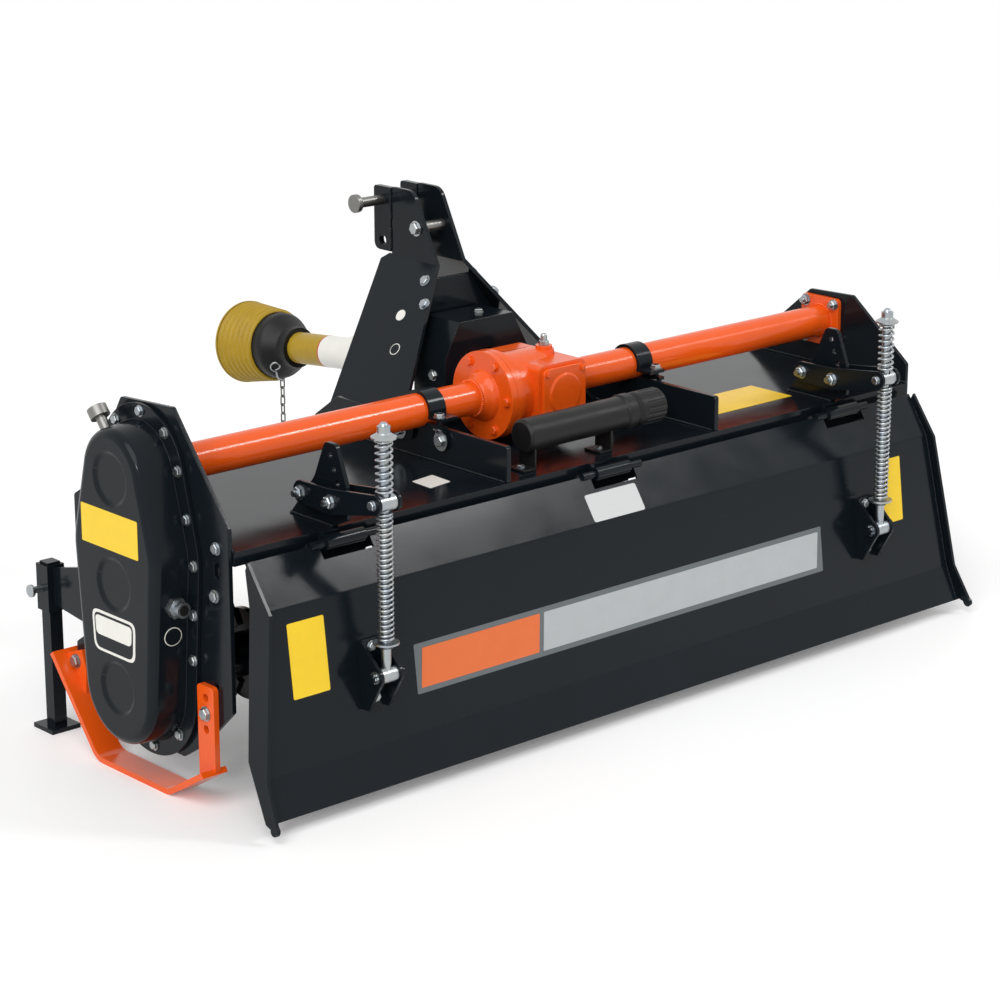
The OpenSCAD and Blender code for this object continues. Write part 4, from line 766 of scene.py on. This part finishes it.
class TILLER_OT_fasteners(bpy.types.Operator):
    """Bolts, nuts and washers"""
    bl_idname = "tiller.fasteners"
    bl_label = "Fasteners"

    def execute(self, context):
        tree = hex_bolt_tree()
        zinc = finish(bright_zinc)
        left, right, rear, up = (-1, 0, 0), (1, 0, 0), (0, -1, 0), (0, 0, 1)

        def on(node, way, size, *spots, beside=(0, 0, 0)):
            """Sites on a node's skin, read beside the spot where a hole lies under it."""
            aside = Vector(beside)
            return [(touch(node, Vector(spot) + aside, way)[0] - aside * 0.001, way, size) for spot in spots]

        flange = [(-20, 630), (49, 603), (-86, 607), (-119, 550), (-138, 474), (-154, 400), (-150, 317),
                  (-146, 239), (-101, 99), (-28, 60), (81, 550), (100, 474), (116, 400), (112, 317),
                  (108, 239), (63, 99)]
        bolts = on("gear_case", left, 0.86, *[(-824, y, z) for y, z in flange])
        bolts += on("side_plate_left", left, 0.95, (-PLATE_OUT, -205, 440), (-PLATE_OUT, -198, 359))
        bolts += on("skids", left, 1.1, (-826, -177, 157), (-824, 195, 148), beside=(0, 0, 13))
        bolts += on("skids", right, 1.1, (826, -177, 157), (824, 195, 148), beside=(0, 0, 13))
        for i in range(6):
            a = radians(30 + 60 * i)
            bolts += on("bearing_right", right, 0.9, (830, DRIVE_Y + 51 * cos(a), ROTOR_Z + 51 * sin(a)))
        bolts += on("mast_plate_left", left, 1.25, (0, 256, 777))
        bolts += on("pto_shield", up, 0.85, (HITCH_X + 18, 146, 631))
        clamps = []
        for side, way, plate in ((-1, left, "mast_plate_left"), (1, right, "mast_plate_right")):
            for dx, y, z in ((60, 207, 690), (96, 178, 655)):
                spot, normal = touch(plate, (HITCH_X + side * dx, y, z), way)
                bolts.append((spot, normal, 0.95))
            bolts += on("pto_shield", way, 0.9, (HITCH_X + side * 100, 136, 533))
            clamp = HITCH_X + side * 264
            clamps += on("tube_clamps", way, 1.05, (clamp, -74, 482), (clamp, 36, 482))
            for z, end_way in ((524, up), (504, (0, 0, -1))):
                bolts += [(at(clamp, DRIVE_Y + dy, z), end_way, 0.95) for dy in (-51, 51)]
        bolts += on("manual_brackets", up, 0.7, (HITCH_X - 184, -192, 444), (HITCH_X + 2, -192, 444))
        run_tree(tree, "frame_bolts", points_mesh(bolts), zinc, "frame")
        run_tree(tree, "clamp_bolts", points_mesh(clamps), zinc, "frame",
                 {"Washer radius": 0.0165, "Seed": 4})

        nuts = []
        for dy in (-36, 36):
            for dz in (-36, 36):
                nuts += on("cross_tube_right", left, 1.0, (790, DRIVE_Y + dy, TUBE_Z + dz))
                nuts += on("cross_tube_left", right, 1.0, (-790, DRIVE_Y + dy, TUBE_Z + dz))
        nuts += on("mast_plate_right", right, 0.95, (60, 256, 777))
        for side in (-1, 1):
            for y in (-252, -176):
                nuts += on("spring_arms", left, 1.1, (side * ROD_X - 24, y, 489))
                nuts += on("spring_arms", right, 1.1, (side * ROD_X + 24, y, 489))
        run_tree(tree, "frame_nuts", points_mesh(nuts), zinc, "frame",
                 {"Stud length": 0.006, "Head height": 0.008, "Seed": 3})

        castings = []
        for i in range(6):
            a = radians(60 * i)
            castings += on("cross_tube_left", left, 0.85, (-90, DRIVE_Y + 66 * cos(a), TUBE_Z + 66 * sin(a)))
        for dx in (-42, 42):
            for dz in (-41, 41):
                castings += on("gearbox_cover", rear, 0.6, (HITCH_X + dx, -110, TUBE_Z + dz))
        run_tree(tree, "gearbox_bolts", points_mesh(castings), finish(orange_casting), "frame",
                 {"Seed": 5})

        door = []
        for side in (-1, 1):
            for way in (left, right):
                door += [(at(side * ROD_X + way[0] * 23.5, ROD_Y, EYE_Z), way, 0.95)]
            door += on("spring_clevises", rear, 0.8, *[(side * ROD_X, -340, EYE_Z + dz) for dz in (40, -44)])
        run_tree(tree, "door_bolts", points_mesh(door), zinc, "door", {"Seed": 9})

        for side, x in (("left", -ROD_X), ("right", ROD_X)):
            ends = [(at(x + way[0] * 24.2, ROD_Y, TRUNNION_Z), way, 0.8) for way in (left, right)]
            run_tree(tree, f"trunnion_nuts_{side}", points_mesh(ends), zinc, f"trunnion_{side}",
                     {"Head height": 0.007})
        return {"FINISHED"}


class TILLER_OT_welds(bpy.types.Operator):
    """Weld beads of the body, the tube and the door"""
    bl_idname = "tiller.welds"
    bl_label = "Welds"

    def execute(self, context):
        tree = weld_tree()
        orange = [ring_x(x, DRIVE_Y, TUBE_Z, 31.5) for x in (-799, 799, -116)]
        run_tree(tree, "tube_welds", lines_mesh(orange), finish(orange_enamel), "frame")
        black = []
        foot_z = DECK_Z + 1
        for side in (-1, 1):
            bracket, base, lug = side * ROD_X, HITCH_X + side * 253, HITCH_X + side * 36.5
            feet = [(bracket - 5, -233, -128), (bracket + 5, -233, -128), (side * 807, -236, 190),
                    (base - 6, -230, 190), (base + 6, -230, 190)]
            black += [[at(x, y0, foot_z), at(x, y1, foot_z)] for x, y0, y1 in feet]
            black += [[at(lug, 328, z0), at(lug, 328, z1)] for z0, z1 in ((730, 765), (785, 838))]
        run_tree(tree, "body_welds", lines_mesh(black), finish(black_enamel), "frame")
        # The door is wider at its lower crease than at its upper one
        upper_half, lower_half, upper_z, flare_drop, inset = 796, 834, 352, 262, 3
        ends = []
        for side in (-1, 1):
            line = []
            for z in range(400, 16, -16):
                flare = min(1.0, max(0.0, (upper_z - z) / flare_drop))
                half = upper_half + (lower_half - upper_half) * flare - inset
                line.append(touch("door_panel", (side * half, -320, z), (0, -1, 0))[0])
            ends.append(line)
        run_tree(tree, "door_welds", lines_mesh(ends), finish(black_enamel), "door",
                 {"Half width": 0.0026})
        return {"FINISHED"}


class TILLER_OT_wire_forms(bpy.types.Operator):
    """Wire clips of the pins and the hook of the guard's chain"""
    bl_idname = "tiller.wire_forms"
    bl_label = "Wire forms"

    def execute(self, context):
        zinc = finish(bright_zinc)
        low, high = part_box("top_link_pin")
        mid = Vector((high.x - 0.009, (low.y + high.y) / 2, (low.z + high.z) / 2))
        # A hairpin clip from the end of its straight leg, as metres across and up
        bends = ((0, 0.012), (0, -0.03), (0.004, -0.05), (0.018, -0.056), (0.024, -0.042), (0.018, -0.026),
                 (0.015, -0.014), (0.017, 0), (0.014, 0.01), (0.018, 0.016))
        loop = [Vector((0, across, up)) for across, up in bends]
        wire_piece("top_pin_clip", [mid + p for p in loop], 0.0021, zinc, "frame")
        low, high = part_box("stand_pin")
        mid = Vector((high.x - 0.006, (low.y + high.y) / 2, (low.z + high.z) / 2))
        wire_piece("stand_pin_clip", [mid + p * 0.8 for p in loop], 0.0018, zinc, "frame")
        # The hook's lower eye holds the chain's first link, its upper eye lies on the collar's skirt
        low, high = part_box("guard_chain")
        top = Vector(((low.x + high.x) / 2, (low.y + high.y) / 2, high.z))
        hook = [top + Vector((0.001, 0.005, -0.004)), top + Vector((0, 0, -0.008)),
                top + Vector((-0.001, -0.006, -0.004))]
        # Millimetres along and out from the driveline, and degrees round it
        eye = ((588, 66.8, 8), (580, 65.8, 18), (573, 61.8, 28), (567, 55.9, 36), (570, 58.9, 46),
               (568, 56.9, 56), (561, 50, 60), (556, 45.3, 54), (556, 45.3, 44), (561, 50, 38),
               (566, 54.9, 41))
        hook += [driveline(along, out, radians(turn)) for along, out, turn in eye]
        wire_piece("chain_hook", hook, 0.0018, zinc, "frame")
        return {"FINISHED"}


class TILLER_OT_plates(bpy.types.Operator):
    """Bare signs and plates, rings, a badge, the door's plain stripe and the guard's bands"""
    bl_idname = "tiller.plates"
    bl_label = "Plates and stripe"

    def execute(self, context):
        thick = context.scene.tiller_sizes.film

        def lay(name, node, facing, corners, material, radius=0.003, height=thick):
            """A film or plate on a node's skin, under its corners."""
            spots = [touch(node, corner, facing)[0] for corner in corners]
            normal = (spots[1] - spots[0]).cross(spots[2] - spots[1]).normalized()
            if normal.dot(Vector(facing)) < 0:
                normal.negate()
            return sheet_piece(name, spots, normal, height, radius, material, BODY_OF[node])

        rear, left, up = (0, -1, 0), (-1, 0, 0), (0, 0, 1)

        def door(name, x0, x1, z0, z1, material, height=thick, radius=0.003, slant=0.0):
            """A film on the door, its upper edge moved aside by a slant."""
            corners = [(x0, -320, z0), (x1, -320, z0), (x1 + slant, -320, z1), (x0 + slant, -320, z1)]
            return lay(name, "door_panel", rear, corners, material, radius, height)

        door("door_sign_left", -760, -686, 204, 327, finish(sign_film))
        door("door_sign_right", 660, 712, 205, 327, finish(sign_film))
        door("stripe_ground", -508, 481, 153, 237, finish(ground_film))
        door("stripe_warm", -499, -236, 162, 228, finish(stripe_film), thick * 2, 0.002, 8)
        door("stripe_pale", -226, 464, 162, 228, finish(band_film), thick * 2, 0.002, 8)

        def case(name, bottom, top, z0, z1, material, radius=0.003, height=thick):
            """A film on the gear case; bottom and top are the ends of its two edges."""
            corners = [(CASE_X, bottom[0], z0), (CASE_X, bottom[1], z0), (CASE_X, top[1], z1),
                       (CASE_X, top[0], z1)]
            return lay(name, "gear_case", left, corners, material, radius, height)

        case("case_sign", (-93, 64), (-93, 64), 408, 473, finish(sign_film))
        lay("deck_sign", "deck", up,
            [(330, -160, DECK_Z), (570, -160, DECK_Z), (570, -54, DECK_Z), (330, -54, DECK_Z)],
            finish(sign_film))
        lay("deck_plate", "deck", up,
            [(-344, -174, DECK_Z), (-292, -166, DECK_Z), (-289, -114, DECK_Z), (-341, -122, DECK_Z)],
            finish(white_film))
        lay("name_plate", "door_panel", rear,
            [(-82, -330, 355), (40, -330, 355), (40, -330, 397), (-82, -330, 397)],
            finish(silver_foil), 0.005, 0.0008)
        case("case_badge_rim", (-74, 40), (-78, 44), 228, 298, finish(white_film), 0.016)
        case("case_badge", (-68, 34), (-72, 38), 233, 293, finish(black_enamel), 0.013, thick * 2)
        case("case_badge_field", (-66, 32), (-69, 34), 256, 289, finish(white_film), 0.009, thick * 3)
        for name, node, way, spot, size, material, height in (
                ("mast_disc", "mast_plate_left", left, (-95, 223, 630), 0.011, white_film, thick),
                ("mast_ring", "mast_plate_left", left, (-148, 193, 578), 0.0115, white_film, thick),
                ("mast_ring_face", "mast_plate_left", left, (-148, 193, 578), 0.0098, black_enamel,
                 thick * 2),
                ("sight_ring", "gear_case", rear, (-850, -128, 281), 0.016, white_film, thick),
                ("sight_ring_face", "gear_case", rear, (-850, -128, 281), 0.0145, black_enamel, thick * 2),
                ("sight_glass", "oil_sight", rear, (-PLATE_OUT - 32.4, -150, 332), 0.0088,
                 black_polyethylene, thick)):
            place, normal = touch(node, spot, way)
            disc_piece(name, place, normal, size, height, finish(material), BODY_OF[node])
        for name, start, end, radius, height, material in (
                ("guard_band", 363.5, 434, 31, 0.3, white_film),
                ("guard_band_rear", 316, 361, 35.2, 0.3, white_film),
                ("guard_band_edge", 432, 435, 31, 0.5, red_film)):
            sleeve_piece(name, start, end, radius, height, finish(material), BODY_OF["guard_tube"])
        return {"FINISHED"}


class TILLER_OT_studio(bpy.types.Operator):
    """Pale floor, soft light and the camera"""
    bl_idname = "tiller.studio"
    bl_label = "Studio"

    def execute(self, context):
        scene = context.scene
        scene.view_settings.view_transform = "Standard"
        mesh = bpy.data.meshes.new("floor")
        mesh.from_pydata([(-30, -30, 0), (30, -30, 0), (30, 30, 0), (-30, 30, 0)], [], [(0, 1, 2, 3)])
        floor = bpy.data.objects.new("floor", mesh)
        scene.collection.objects.link(floor)
        material, tree, shader, place = surface("studio_floor")
        feed(tree, shader, {"Base Color": (0.93, 0.93, 0.93, 1), "Roughness": 0.55,
                            "Specular IOR Level": 0.25})
        # Far from the machine the floor runs out to plain white
        away = add(tree, "ShaderNodeVectorMath", {0: place}, operation="LENGTH")
        share = add(tree, "ShaderNodeMapRange", {0: away.outputs["Value"], 1: 1.6, 2: 4.0},
                    interpolation_type="SMOOTHSTEP")
        white = add(tree, "ShaderNodeEmission", {"Strength": 1.0})
        seen = any_ray(tree, ("Is Camera Ray", "Is Glossy Ray"))
        lift = add(tree, "ShaderNodeMapRange", {0: seen, 3: 0.0, 4: 0.14})
        pale = add(tree, "ShaderNodeEmission", {"Strength": lift.outputs[0]})
        ground = add(tree, "ShaderNodeAddShader", {0: shader.outputs[0], 1: pale.outputs[0]})
        blend = add(tree, "ShaderNodeMixShader",
                    {0: share.outputs[0], 1: ground.outputs[0], 2: white.outputs[0]})
        feed(tree, tree.nodes["Material Output"], {"Surface": blend.outputs[0]})
        mesh.materials.append(material)

        world = bpy.data.worlds.new("studio")
        scene.world = world
        world.use_nodes = True
        tree = world.node_tree
        seen = any_ray(tree, ("Is Camera Ray", "Is Glossy Ray", "Is Transmission Ray"))
        level = add(tree, "ShaderNodeMapRange", {0: seen, 3: 0.5, 4: 1.0})
        feed(tree, tree.nodes["Background"], {"Color": (1, 1, 1, 1), "Strength": level.outputs[0]})

        # A broad softbox above, left of the camera, and two narrow ones for the glints on paint and tube
        for name, energy, spread, tilt, turn in (("overhead_softbox", 1.5, 50, 17.5, -36),
                                                 ("camera_softbox", 0.5, 9, 34.5, -62.7),
                                                 ("right_softbox", 0.5, 9, 28.9, 44.2)):
            sun = bpy.data.lights.new(name, "SUN")
            sun.energy = energy
            sun.angle = radians(spread)
            lamp = bpy.data.objects.new(name, sun)
            lamp.rotation_euler = (radians(tilt), radians(turn), 0)
            scene.collection.objects.link(lamp)

        view = bpy.data.cameras.new("photo_view")
        view.sensor_width = 36
        view.lens = 105.28
        camera = bpy.data.objects.new("photo_view", view)
        camera.location = (-3.4084, -3.9972, 1.8289)
        camera.rotation_euler = (radians(73.44), 0, radians(-41.97))
        scene.collection.objects.link(camera)
        scene.camera = camera
        return {"FINISHED"}


class TILLER_PT_panel(bpy.types.Panel):
    """Sizes, colours and pieces of the tiller"""
    bl_idname = "TILLER_PT_panel"
    bl_label = "Rotary tiller"
    bl_space_type = "VIEW_3D"
    bl_region_type = "UI"
    bl_category = "Tiller"

    def draw(self, context):
        for group in (context.scene.tiller_sizes, context.scene.tiller_colours):
            box = self.layout.box()
            for name in group.__annotations__:
                box.prop(group, name)
        for piece in PIECES:
            self.layout.operator(piece.bl_idname)


PIECES = (TILLER_OT_sheet_metal, TILLER_OT_orange_work, TILLER_OT_bright_work, TILLER_OT_mouldings,
          TILLER_OT_springs, TILLER_OT_fasteners, TILLER_OT_welds, TILLER_OT_wire_forms, TILLER_OT_plates,
          TILLER_OT_studio)
CLASSES = (TillerColours, TillerSizes, *PIECES, TILLER_PT_panel)


def register():
    for cls in CLASSES:
        bpy.utils.register_class(cls)
    bpy.types.Scene.tiller_colours = PointerProperty(type=TillerColours)
    bpy.types.Scene.tiller_sizes = PointerProperty(type=TillerSizes)


def unregister():
    del bpy.types.Scene.tiller_sizes
    del bpy.types.Scene.tiller_colours
    for cls in reversed(CLASSES):
        bpy.utils.unregister_class(cls)


def main():
    """Makes every piece in order."""
    register()
    for piece in PIECES:
        group, name = piece.bl_idname.split(".")
        getattr(getattr(bpy.ops, group), name)()


if __name__ == "__main__":
    main()
